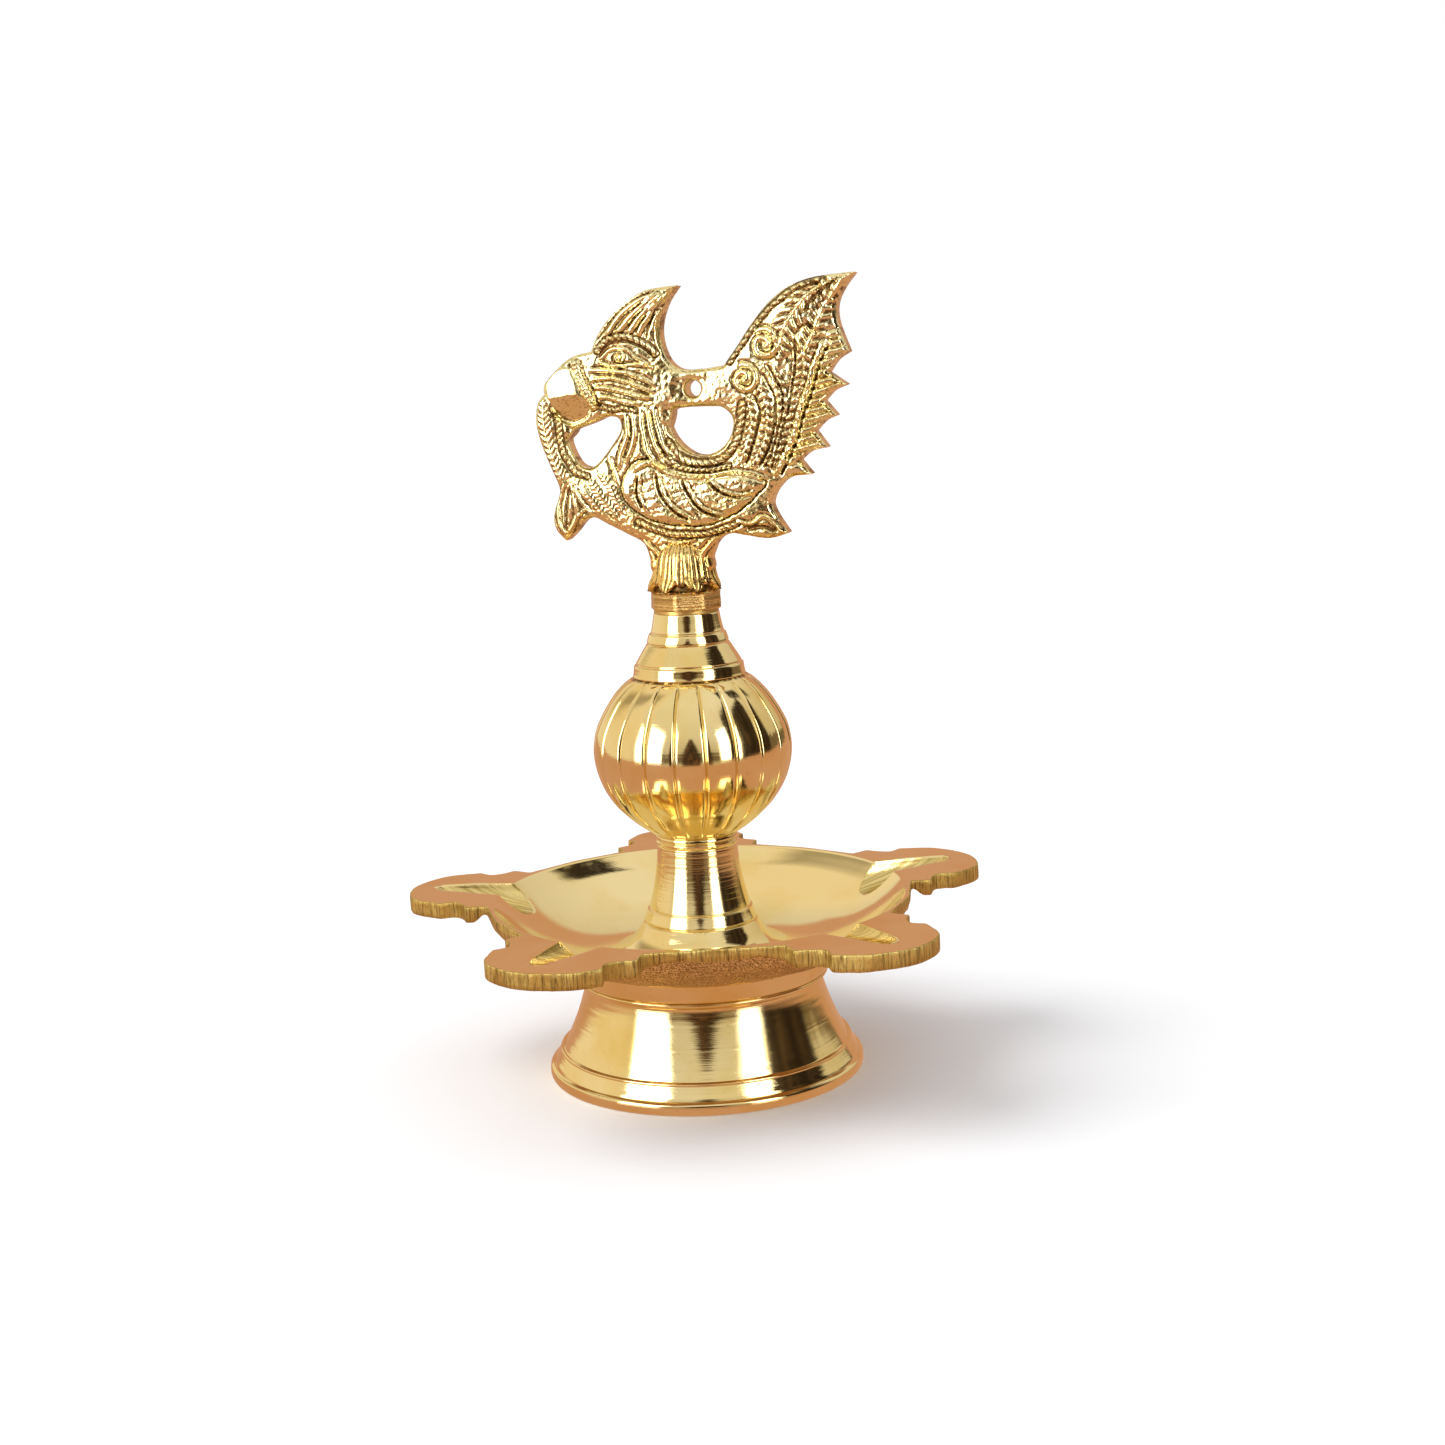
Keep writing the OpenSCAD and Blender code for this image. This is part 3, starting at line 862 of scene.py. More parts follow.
def make_bowl():
    outline = plate_outline()
    out = outward(outline)
    edge, foot_edge = outline - out * 0.32, outline - out * 0.45
    profile = joined([
        [(CLEAR_R, FLOOR_Z), (CLEAR_R, FOOT_TOP), (31.6, FOOT_TOP)],
        eased([(31.6, FOOT_TOP), (32.0, FOOT_TOP + 0.05), (32.4, 26.0), (32.75, 26.9), (32.85, 28.5)], 0.3),
        curve([(32.85, 28.5), (32.95, 29.4), (33.2, 30.2)], 4),
        [(33.2, 30.2), (BODY_R, BODY_Z)],
    ])
    top, turned = bowl_top(edge), lathe_part(profile)
    turned["kind"] = TURNED
    for part in (top, turned):  # they meet exactly round the hole
        at_hole = np.abs(np.hypot(*part["points"][:, :2].T) - CLEAR_R) < 1e-4
        at_top = at_hole & (part["points"][:, 2] > FLOOR_Z - 1)
        part["points"][at_top, 2] = FLOOR_Z
    made = welded([top, bowl_side(outline, edge, foot_edge), bowl_under(foot_edge), turned])
    materials = [polished_brass(), ground_brass(), filed_brass(), cast_brass(),
                 turned_brass("bowl_collar_brass", 0.8)]
    placed(mesh_piece("bowl_casting", made, materials), "base", "bowl")


# ---- finial ----

CREST = [(-20.6, 64.6), (-18.4, 69.0), (-15.4, 72.6), (-11.3, 76.0), (-5.8, 78.8), (1.8, 79.6)]
NAPE = [(1.8, 79.6), (-1.2, 75.5), (-3.0, 70.0), (-2.6, 65.0), (-0.6, 61.0), (2.6, 59.2), (8.0, 59.2),
        (13.0, 59.8)]
TAIL_FRONT = [(13.0, 59.8), (16.2, 63.8), (20.0, 69.0), (24.8, 74.4), (30.0, 78.0), (36.3, 79.9),
              (46.0, 80.6)]
TEETH = [
    [(46.0, 80.6), (43.4, 77.4), (41.5, 73.6), (41.6, 69.0), (44.1, 62.0)],
    [(44.1, 62.0), (41.2, 60.2), (38.9, 57.2)], [(38.9, 57.2), (43.3, 54.1)],
    [(43.3, 54.1), (40.0, 52.8), (37.6, 50.4)], [(37.6, 50.4), (40.6, 46.8)],
    [(40.6, 46.8), (37.6, 45.6), (35.1, 43.2)], [(35.1, 43.2), (38.0, 39.2)],
    [(38.0, 39.2), (34.0, 38.4), (31.0, 36.3)], [(31.0, 36.3), (33.8, 32.8)],
]
RUMP = [(33.8, 32.8), (28.6, 32.2), (25.4, 29.8), (23.6, 26.2), (24.6, 23.0), (27.4, 18.6)]
LOWER_LEAF = [(27.4, 18.6), (22.6, 17.4), (17.2, 18.2), (13.0, 18.8), (9.4, 17.0), (7.4, 13.0)]
STALK = [(7.4, 13.0), (6.4, 9.0), (-6.4, 9.0), (-8.0, 13.0)]
CHEST_LEAF = [(-8.0, 13.0), (-9.4, 16.8), (-13.8, 19.4), (-18.4, 21.8), (-22.0, 23.6), (-25.0, 22.8),
              (-27.6, 20.0), (-29.8, 18.0)]
FLOWER_STEM = [(-29.8, 18.0), (-32.2, 20.8), (-32.6, 24.6), (-31.2, 28.6), (-30.8, 31.4), (-33.0, 37.0),
               (-35.2, 43.4), (-36.0, 48.4), (-35.2, 52.6), (-33.4, 54.6)]
BEAK = [(-33.4, 54.6), (-33.2, 57.0), (-30.0, 60.4), (-25.8, 63.4), (-20.6, 64.6)]
CHEST_HOLE = [(-26.2, 45.6), (-21.2, 47.2), (-17.4, 48.6), (-14.4, 48.0), (-13.9, 45.0), (-16.7, 41.0),
              (-19.9, 37.4), (-22.4, 36.0), (-25.4, 37.0), (-27.4, 40.4), (-28.1, 43.6)]
WING_HOLE = [(-0.6, 49.4), (3.0, 50.2), (8.0, 50.2), (12.2, 49.8), (14.8, 47.0), (14.2, 43.0),
             (11.6, 39.7), (7.5, 38.2), (4.0, 38.8), (0.4, 41.7), (-1.7, 45.8)]
HANG_AT = np.array([5.1, 54.6])
HANG_R = 2.05
FACE = 3.45  # half thickness of the casting's body
EDGE = 2.75  # half thickness at its outline
RELIEF_STEP = 0.28  # spacing of the relief's points


def around(points, steps):
    """A closed smooth loop through the points."""
    p = list(points)
    line = curve(p[-2:] + p + p[:2], steps)
    return line[2 * steps:-2 * steps]


class Relief:
    """Heights on the finial's face, built up stroke by stroke at (across, up) points."""

    def __init__(self, points, to_edge):
        shift = np.column_stack([noise_field(*points.T, 2.2, 31), noise_field(*points.T, 2.2, 32)])
        self.at = points + 0.16 * shift
        dome = 1 - np.exp(-to_edge / 3.2)
        self.height = EDGE + (FACE - EDGE) * unit(to_edge / 0.9) ** 0.5 + 0.9 * dome
        self.recess = np.zeros(len(points))
        self.bright = np.zeros(len(points))

    def darken(self, share):
        self.recess = np.maximum(self.recess, share)

    def brighten(self, share):
        self.bright = np.maximum(self.bright, share)

    def along(self, line):
        """(distance to the line, place along it, signed side, length of the line)"""
        line = curve(line, 6) if len(line) > 2 else np.asarray(line, float)
        gap = np.full(len(self.at), 1e3)
        place, side, start = np.zeros(len(self.at)), np.ones(len(self.at)), 0.0
        near = np.all((self.at > line.min(0) - 5) & (self.at < line.max(0) + 5), axis=1)
        spots, g, p, s = self.at[near], gap[near], place[near], side[near]
        for one, two in zip(line, line[1:]):
            way = two - one
            length = np.hypot(*way)
            off = spots - one
            share = unit(off @ way / length**2)
            away = off - share[:, None] * way
            distance = np.hypot(*away.T)
            nearer = distance < g
            g[nearer] = distance[nearer]
            p[nearer] = (start + share * length)[nearer]
            s[nearer] = np.sign(way[0] * away[:, 1] - way[1] * away[:, 0])[nearer]
            start += length
        gap[near], place[near], side[near] = g, p, s
        return gap, place, side * gap, start

    def cut(self, line, width=0.45, depth=0.5):
        gap, place, _, length = self.along(line)
        stroke = bell(gap, width) * unit(np.minimum(place, length - place) / 0.8 + 0.35)
        self.height -= depth * stroke
        self.darken(stroke)

    def raise_line(self, line, width=0.8, height=0.5, taper=1.2, dark=0.8):
        gap, place, _, length = self.along(line)
        ends = unit(np.minimum(place, length - place) / taper + 0.25)
        share = unit(gap / (width * (0.5 + 0.5 * ends)))
        ridge = (1 - share**2) ** 0.8 * ends
        ditch = bell(gap - width - 0.2, 0.3) * ends
        self.height += 0.8 * height * ridge - 0.26 * ditch
        self.recess *= 1 - ridge
        self.darken(dark * ditch)
        self.brighten(ridge)

    def feather(self, line, wide, height=0.45, pitch=1.25, slant=0.9, spine=0.45):
        """A band with a raised spine and slanting barbs on both sides of it."""
        gap, place, _, length = self.along(line)
        wide = wide * unit(np.minimum(place + 1, length - place + 0.3) / 2.5)
        share = unit(gap / np.maximum(wide, 0.05))
        body = (1 - share**4) * (gap < wide)
        barb = unit(0.5 + 0.75 * np.cos(2 * math.pi * (place + slant * gap) / pitch))
        rise = body * (0.25 + 0.75 * barb * unit(gap / 0.5))
        spine_rise = bell(gap, spine) * (body > 0)
        self.height += 0.8 * height * np.maximum(rise, 1.15 * spine_rise)
        self.darken(0.85 * body * (1 - barb) * unit((gap - spine) / 0.4))
        self.brighten(spine_rise)

    def rope(self, line, wide=0.9, height=0.55, pitch=1.5, slant=0.8):
        """A twisted cord."""
        gap, place, side, _ = self.along(line)
        wave = np.cos(2 * math.pi * (place + slant * side) / pitch)
        body = np.sqrt(1 - unit(gap / wide) ** 2)
        self.height += height * body * (0.62 + 0.38 * wave) - 0.3 * bell(gap - wide, 0.3)
        self.darken(np.where(gap < wide, unit(-wave) * 0.8, 0))
        self.darken(bell(gap - wide - 0.1, 0.3))

    def scroll(self, centre, radius, start=0.0, height=0.6):
        """A spiral that winds in to a round eye."""
        turn = np.linspace(0, 3.4 * math.pi, 40)
        r = radius * (1 - turn / (3.9 * math.pi))
        line = np.stack([centre[0] + r * np.cos(start - turn), centre[1] + r * np.sin(start - turn)], 1)
        self.raise_line(line[::2].tolist(), 0.22 * radius, height, 0.6)
        eye = bell(np.hypot(*(self.at - centre).T), 0.75)
        self.height += 0.7 * eye
        self.brighten(eye)

    def plateau(self, loop, height, soft=1.6):
        """Everything inside the loop stands proud, rounded over at its edge."""
        loop = anticlockwise(spaced(around(loop, 7), 0.4)[:-1])
        within = inside(self.at, loop)
        gap = gap_to(self.at, loop)
        rise = height * np.sqrt(1 - (1 - unit(gap / soft)) ** 2)
        self.height += np.where(within, rise, -0.45 * bell(gap, 0.45))
        self.darken(np.where(within, 0, bell(gap, 0.5)))
        self.brighten(bell(gap - 0.7, 0.6) * within)

    def stipple(self, loop):
        """Short rows of small nicks all over the inside of the loop."""
        depth, pitch, row, tilt = 0.42, 0.62, 2.35, 0.25
        within = inside(self.at, anticlockwise(around(loop, 7)[:-1]))
        x, y = self.at.T
        v = (y - tilt * x) / row + 0.12 * noise_field(x, y, 2.0, 71)
        nick = 0.5 + 0.5 * np.cos(2 * math.pi * (x + 0.45 * (v % 1) * row) / pitch + 3 * np.floor(v))
        jitter = unit(0.55 + 0.8 * noise_field(x, y, 0.8, 72))
        mark = bell(((v % 1) - 0.5) * row, 0.34) * nick * jitter * within
        self.height -= depth * mark
        self.darken(mark)

    def knob(self, centre, reach, rise, planes):
        """A filed knob: flat facets over a rounded lump."""
        off = self.at - centre
        lump = 1 - (np.abs(off @ reach[0]) ** 2.6 + np.abs(off @ reach[1]) ** 2.6)
        top = np.full(len(off), rise)
        for slope_x, slope_y, drop in planes:
            top = np.minimum(top, rise - drop - slope_x * off[:, 0] - slope_y * off[:, 1])
        top -= 0.010 * (off**2).sum(axis=1)
        share = swept(unit(lump * 4))
        self.height = self.height * (1 - share) + (FACE + top) * share
        self.recess *= 1 - share
        self.brighten(share)


def carve(relief):
    """All the strokes of the bird, from the crest to the tail."""
    raised, cut, rope, feather = relief.raise_line, relief.cut, relief.rope, relief.feather
    # crest
    for line in (
        [(-16.2, 68.6), (-12.6, 73.0), (-7.6, 76.4), (-2.6, 77.9)],
        [(-13.4, 68.8), (-10.1, 72.3), (-5.8, 75.7), (-1.3, 77.7)],
        [(-10.6, 68.6), (-7.8, 71.9), (-4.4, 75.0), (-0.7, 77.4)],
        [(-8.2, 68.0), (-6.1, 71.0), (-3.6, 74.4), (-0.3, 77.1)],
    ):
        raised(line, 0.75, 0.55)
    cut([(-18.6, 67.6), (-14.6, 72.4), (-9.6, 76.2), (-4.0, 78.4)], 0.35, 0.5)
    cut([(-6.0, 67.0), (-5.2, 70.2), (-3.6, 73.6), (-1.2, 76.4)], 0.35, 0.5)
    rope([(-18.9, 64.7), (-16.2, 67.3), (-12.4, 68.0), (-8.9, 67.2), (-5.5, 65.3),
          (-3.9, 63.4)], 0.8, 0.5, 1.7)
    cut([(-18.6, 63.3), (-15.8, 65.8), (-11.9, 66.6), (-7.9, 65.5), (-4.6, 62.9)], 0.3, 0.45)
    # eye and lids
    raised([(-18.6, 62.1), (-15.9, 64.4), (-13.2, 65.2), (-10.3, 64.2), (-8.1, 62.2),
            (-4.9, 60.2)], 0.5, 0.5)
    raised([(-18.4, 61.9), (-15.8, 61.0), (-13.4, 60.8), (-10.5, 61.0), (-7.5, 60.8),
            (-4.9, 60.0)], 0.5, 0.5)
    relief.scroll((-13.1, 62.9), 1.35, 0.4, 0.5)
    for line in (
        [(-20.9, 60.2), (-16.4, 59.9), (-12.3, 59.3), (-8.2, 57.9), (-4.4, 55.8)],
        [(-20.3, 58.0), (-15.4, 57.9), (-11.3, 56.9), (-7.5, 55.2), (-4.6, 54.0)],
        [(-19.9, 55.8), (-16.4, 55.5), (-12.9, 54.6), (-9.1, 53.5), (-5.4, 52.6)],
        [(-18.6, 53.4), (-15.6, 53.0), (-12.1, 52.0), (-8.6, 51.3)],
    ):
        raised(line, 0.62, 0.5)
    rope([(-18.4, 51.0), (-15.0, 50.2), (-12.4, 50.4), (-9.6, 49.9)], 0.6, 0.4, 1.2)
    raised([(-24.6, 63.0), (-25.5, 60.4), (-23.9, 55.8), (-21.4, 52.5), (-18.9, 50.6)], 0.7, 0.7)
    # flower stem and its leaf
    feather([(-33.3, 53.2), (-33.7, 49.3), (-33.0, 43.8), (-31.6, 38.0),
             (-29.5, 32.6)], 1.9, 0.5, 1.5, 1.0, 0.4)
    rope([(-31.0, 51.0), (-29.9, 48.0), (-29.6, 43.0), (-28.6, 39.0), (-26.0, 35.4),
          (-23.0, 34.0)], 0.8, 0.5, 1.4)
    raised([(-29.0, 32.6), (-30.9, 27.5), (-31.0, 22.8), (-29.6, 19.6)], 0.6, 0.6)
    raised([(-27.2, 31.7), (-26.3, 26.4), (-27.0, 22.6), (-29.0, 19.8)], 0.6, 0.6)
    cut([(-28.0, 31.0), (-28.9, 26.0), (-29.1, 21.5)], 0.4, 0.5)
    raised([(-26.4, 31.0), (-24.9, 27.6), (-22.4, 24.9)], 0.6, 0.6)
    raised([(-26.0, 24.0), (-24.4, 25.6), (-22.6, 24.9)], 0.45, 0.5)
    # chest petals
    for line in (
        [(-22.6, 33.6), (-20.6, 30.2), (-17.6, 26.2), (-15.0, 22.6)],
        [(-19.9, 34.2), (-17.3, 31.8), (-15.6, 28.0), (-13.6, 24.2)],
        [(-23.6, 30.4), (-21.0, 27.0), (-17.8, 23.6)],
    ):
        feather(line, 1.15, 0.42, 1.1, 0.8, 0.35)
    raised([(-17.3, 38.6), (-15.9, 35.1), (-14.9, 31.8)], 0.6, 0.45)
    # neck ridges running into the wing
    for line in (
        [(-12.2, 49.0), (-12.2, 44.0), (-13.9, 39.4), (-14.9, 35.4)],
        [(-10.3, 49.4), (-10.2, 44.5), (-11.2, 40.4), (-12.8, 37.2)],
        [(-8.4, 49.8), (-8.0, 45.0), (-7.2, 40.4), (-5.0, 36.4)],
        [(-6.6, 50.0), (-6.0, 45.0), (-4.6, 40.2), (-1.6, 35.6)],
        [(-4.8, 50.2), (-4.2, 45.6), (-2.6, 40.4), (0.6, 36.3)],
    ):
        raised(line, 0.72, 0.55, 2.0)
    # wing: a raised shield with quills, and rows of nicks between them
    shield = [(-6.9, 37.6), (-11.2, 36.6), (-13.9, 32.0), (-12.9, 27.4), (-7.6, 23.2), (0.3, 21.3),
              (8.4, 21.4), (14.4, 23.8), (19.6, 27.6), (22.6, 31.4), (17.0, 33.6), (9.9, 32.9),
              (3.4, 33.2), (-2.4, 35.0)]
    relief.plateau(shield, 0.85, 1.9)
    relief.stipple([(-10.6, 34.0), (-11.0, 28.0), (-6.6, 24.8), (0.5, 23.3), (8.2, 23.4), (13.4, 25.4),
                    (19.0, 29.4), (14.0, 31.8), (6.0, 31.6), (-2.4, 33.4)])
    quills = (
        [(-9.3, 33.6), (-9.8, 29.6), (-8.6, 25.6)],
        [(-4.6, 34.4), (-3.7, 29.2), (-0.4, 25.0), (3.6, 22.4)],
        [(1.9, 32.6), (4.3, 27.6), (7.4, 24.6), (12.0, 22.9)],
        [(8.0, 33.0), (11.0, 29.8), (15.0, 28.2), (19.8, 28.6)],
    )
    for line in quills:
        cut([(x - 0.45, y - 0.2) for x, y in line], 0.36, 0.6)
        raised([(x + 0.45, y + 0.2) for x, y in line], 0.55, 0.42, 1.8)
    raised([(-10.6, 35.4), (-6.4, 37.0), (-2.0, 34.6), (3.4, 33.2), (9.9, 33.3), (16.4, 33.9), (22.6, 32.2)],
                      0.75, 0.5)
    rope([(-1.4, 41.6), (0.6, 38.3), (5.9, 36.4), (11.3, 37.0), (15.0, 40.4), (16.8, 45.6), (17.6, 50.4)],
                1.0, 0.6, 1.7)
    rope([(-3.0, 38.4), (0.0, 36.0), (4.0, 34.9), (9.0, 34.8), (13.6, 35.6)], 0.7, 0.45, 1.4, -0.8)
    # tail: bands of slanting barbs between long dark lines that fan out from the wing
    bands = (
        ([(16.6, 36.8), (18.7, 41.9), (19.8, 47.4), (18.4, 53.0)], 1.5, 1.9),
        ([(19.6, 35.4), (23.0, 42.0), (23.8, 49.0), (21.8, 55.2)], 1.7, 2.0),
        ([(22.6, 34.4), (26.4, 42.0), (27.9, 50.0), (26.2, 58.2)], 1.3, 2.0),
        ([(25.2, 33.6), (28.6, 41.4), (31.4, 50.0), (33.2, 58.6), (33.0, 64.4)], 2.1, 2.1),
    )
    for line, wide, pitch in bands:
        feather(line, wide, 0.62, pitch, 0.55, 0.05)
    for line in (
        [(17.8, 35.6), (20.4, 41.8), (21.8, 48.5), (20.5, 52.6)],
        [(21.0, 34.8), (24.6, 41.6), (25.9, 48.6), (25.4, 52.6), (22.8, 57.6)],
        [(22.6, 34.4), (26.4, 43.7), (27.9, 50.9), (26.8, 55.0), (24.2, 59.6)],
        [(24.0, 34.0), (28.3, 46.4), (30.0, 52.4), (31.1, 60.0), (31.2, 65.6)],
    ):
        cut(line, 0.34, 0.55)
    upper = [(27.4, 61.6), (28.2, 66.4), (31.4, 72.0), (36.2, 76.6), (41.8, 79.2)]
    feather(upper, 3.8, 0.6, 2.4, 0.75, 0.3)
    feather([(33.6, 62.0), (36.2, 67.4), (39.0, 73.0), (43.6, 79.2)], 3.0, 0.6, 2.3, -0.6, 0.4)
    cut([(33.8, 71.4), (36.7, 75.3), (42.6, 79.6)], 0.4, 0.6)
    cut([(30.9, 66.0), (33.2, 68.4), (35.1, 68.7), (36.8, 66.1)], 0.36, 0.5)
    quill = np.array([(25.4, 33.0), (29.7, 41.4), (31.6, 47.0), (34.0, 53.3), (36.1, 59.7), (38.6, 64.6)])
    for low in np.arange(36.0, 68.0, 2.3):
        root = np.interp(low, quill[:, 1], quill[:, 0])
        raised([(root + 0.9, low), (root + 9.5, low + 2.0)], 0.95, 0.6, 0.8, 0.45)
    raised(quill.tolist(), 0.85, 0.8)
    cut([(x + 1.15, y - 0.3) for x, y in quill.tolist()], 0.3, 0.5)
    rope([(14.9, 60.6), (17.6, 64.2), (21.4, 69.0), (26.2, 73.9), (31.6, 77.6), (37.2, 79.2)], 0.7, 0.5, 2.0)
    relief.scroll((23.7, 64.4), 3.9, 2.2, 0.8)
    relief.scroll((18.4, 56.4), 3.6, 2.0, 0.8)
    # belly, stalk and lower leaf
    rope([(-10.2, 22.2), (-4.3, 19.7), (1.2, 18.9), (8.1, 19.1), (14.8, 21.2)], 0.8, 0.5, 1.5)
    raised([(-9.6, 17.4), (-6.4, 15.2), (-4.9, 12.8), (-4.2, 10.6)], 0.7, 0.55)
    raised([(13.8, 19.2), (9.4, 17.4), (6.2, 14.6), (4.3, 11.4)], 0.7, 0.55)
    for drop in (0, 1.6, 3.2):
        side = 0.3 * drop
        raised([(-4.0 + side, 17.6 - drop), (0.2, 16.9 - drop), (4.3 - side, 17.6 - drop)], 0.5, 0.35)
    raised([(14.7, 22.0), (18.7, 21.2), (21.9, 22.8), (26.4, 19.3)], 0.55, 0.6)
    cut([(17.4, 19.6), (21.6, 20.3), (25.0, 19.0)], 0.6, 0.8)
    # filed beak: a stub with two flat facets, and a scored cuff behind it
    reach = np.array([[math.cos(0.38), math.sin(0.38)], [-math.sin(0.38), math.cos(0.38)]])
    reach = reach / np.array([[5.3], [7.3]])
    relief.knob(np.array([-26.9, 54.0]), reach, 1.7, [(-0.10, 0.04, 0.15), (-0.06, -0.34, 0.2)])
    cuff = np.array([(-24.7, 62.6), (-23.6, 59.4), (-22.4, 56.4), (-21.3, 53.6), (-19.9, 50.2)])
    raised(cuff.tolist(), 1.35, 1.5, 0.6)
    for x, y in spaced(curve(cuff.tolist(), 6), 1.15):
        cut([(x - 1.2, y - 0.5), (x + 1.3, y + 0.5)], 0.2, 0.3)


def finial_face():
    """Outline loops, points, triangles and relief of the bird's face."""
    runs = [CREST, NAPE, TAIL_FRONT, *TEETH, RUMP, LOWER_LEAF, STALK, CHEST_LEAF, FLOWER_STEM, BEAK]
    edge = anticlockwise(closed([curve(run, 8) if len(run) > 2 else run for run in runs], 0.3))
    edge = edge + np.random.default_rng(53).uniform(-0.025, 0.025, edge.shape)
    holes = [anticlockwise(spaced(around(hole, 8), 0.3)[:-1]) for hole in (CHEST_HOLE, WING_HOLE)]
    holes.append(HANG_AT + circle(HANG_R, 48))
    loops = [edge, *holes]
    border = np.vstack(loops)

    def on_metal(spots, gap):
        """Those inside the outline, outside the holes and farther than gap from both."""
        spots = spots[inside(spots, edge) & ~np.any([inside(spots, hole) for hole in holes], axis=0)]
        return spots[gap_to(spots, border) > gap]

    rims = np.vstack([loop - outward(loop) * way * 0.22 for loop, way in zip(loops, (1, -1, -1, -1))])
    grid = hex_grid(edge.min(0), edge.max(0), RELIEF_STEP)
    points, triangles = triangulated(loops, gathered([on_metal(rims, 0.17), on_metal(grid, 0.30)], 0.14))
    to_edge = gap_to(points, border)
    relief = Relief(points, to_edge)
    carve(relief)
    x, y = points.T
    # a flat land round the hanging hole
    flat = unit(1 - np.hypot(*(points - HANG_AT).T) / 5.5) ** 0.5 * unit(3 - np.abs(y - 54.8))
    relief.height = relief.height * (1 - flat) + (FACE + 0.1) * flat
    relief.recess *= 1 - flat
    grit = grit_field(x, y, (0.07, 0.9, 41), (0.05, 0.5, 42), (0.12, 3, 43))
    relief.height += grit * (1 - 0.7 * relief.bright)
    ease = unit(to_edge / 0.45)
    height = EDGE * (1 - ease) + np.maximum(relief.height, EDGE - 0.3) * ease
    height = np.where(to_edge < 1e-4, EDGE, height)
    return loops, points, triangles, height, unit(relief.recess - 0.5 * relief.bright), relief.bright


def bird_part():
    """The pierced casting: the same relief on both faces, and walls round the outline and holes."""
    loops, points, triangles, height, recess, bright = finial_face()
    x, y = points.T
    grain = np.column_stack([recess, bright, np.zeros(len(x))])
    parts = [{"points": np.column_stack([x, -height, y]), "faces": triangles, "grain": grain},
             {"points": np.column_stack([x, height, y]), "faces": triangles[:, ::-1], "grain": grain}]
    for number, loop in enumerate(loops):
        wavy = noise_field(*loop.T, 2.0, 51)[:, None]
        out = outward(loop) * (1 if number == 0 else -1)
        bulge = 0.14 + 0.08 * wavy if number < 3 else 0 * wavy  # the hanging hole is drilled straight
        rows = []
        for level, share in ((-EDGE, 0), (-0.6 * EDGE, 0.8), (0, 1), (0.6 * EDGE, 0.8), (EDGE, 0)):
            line = loop + out * bulge * share
            rows.append(np.column_stack([line[:, 0], np.full(len(loop), level), line[:, 1]]))
        wall, faces = strip(rows)
        if number == 0:
            faces = faces[:, ::-1]
        rough = unit(0.25 + 0.5 * noise_field(wall[:, 0], wall[:, 2], 1.2, 52))
        grain = np.column_stack([rough, 0 * rough, np.full(len(rough), 0.15)])
        parts.append({"points": wall, "faces": faces, "grain": grain})
    return welded(parts)


def shank_part():
    """Screw tang, filed eight-sided collar, and a shank wrapped in drooping leaves, as one turned grid."""
    count = 256
    turn = np.linspace(0, 2 * math.pi, count, endpoint=False)
    step = math.pi / 4
    octagon = 9.2 * math.cos(step / 2) / np.cos((turn % step) - step / 2)
    octagon = smooth_min(octagon, np.full(count, 9.02), 0.25)
    random = np.random.default_rng(61)
    rows, marks = [], []

    def row(radius, height, recess=0.0, bright=0.0, filed=0.0):
        rows.append(round_row(radius, turn, height))
        marks.append(np.stack([np.broadcast_to(v, count) for v in (recess, bright, filed)], 1))

    for radius, height in ((0, TANG_BOTTOM), (3.6, TANG_BOTTOM), (4.0, TANG_BOTTOM + 0.4), (4.0, 0)):
        row(radius, height)
    row(octagon - 0.3, 0.0, 0, 0, 1)
    for height in np.linspace(0.25, 4.35, 22):
        dip = 0.05 * random.uniform(-1, 1) + 0.05 * noise_field(turn * 3, np.full(count, height * 4), 1.0, 62)
        row(octagon + dip, height, 0.15, 0, 1)
    row(octagon - 0.35, 4.55 + 0.12 * noise_field(turn * 2, turn * 0, 0.8, 63), 0.2, 0, 1)
    shank = curve([(8.3, 4.85), (7.7, 5.4), (7.1, 8.0), (6.9, 10.6), (6.2, 13.6), (4.6, 16.2),
                   (2.4, 17.3)], 8)
    leaves = 7
    for radius, height in shank:
        up = (height - 4.7) / 11
        total = np.full(count, radius)
        dark, light = np.full(count, 0.8), np.zeros(count)
        for layer, (start, lift) in enumerate(((0.12, 0.5), (0.0, 1.1))):
            place = ((turn / (2 * math.pi) * leaves + 0.5 * layer + 0.12) % 1 - 0.5) * 2
            tall = min(max((up - start) / (1 - start), 0), 1)
            wide = min(1, (tall / 0.3) ** 0.7) * (1.06 - 0.35 * tall)
            share = np.abs(place) / max(wide, 0.02)
            leaf = unit((1 - share) * 5) * (up > start)
            rib = bell(place, 0.10) + 0.7 * bell(np.abs(place) - 0.5 * wide, 0.08)
            rise = leaf * (0.3 + 0.55 * unit(1 - share**2) + lift * bell(tall - 0.10, 0.26) - 0.22 * rib)
            higher = radius + rise > total
            total = np.where(higher, radius + rise, total)
            dark = np.where(higher & (leaf > 0.3), 0.75 * unit(rib), dark)
            light = np.where(higher, leaf * (1 - unit(rib)), light)
        row(total, height, dark, light)
    row(0, 17.4)
    points, faces = strip(rows)
    return welded([{"points": points, "faces": faces, "grain": np.vstack(marks)}])


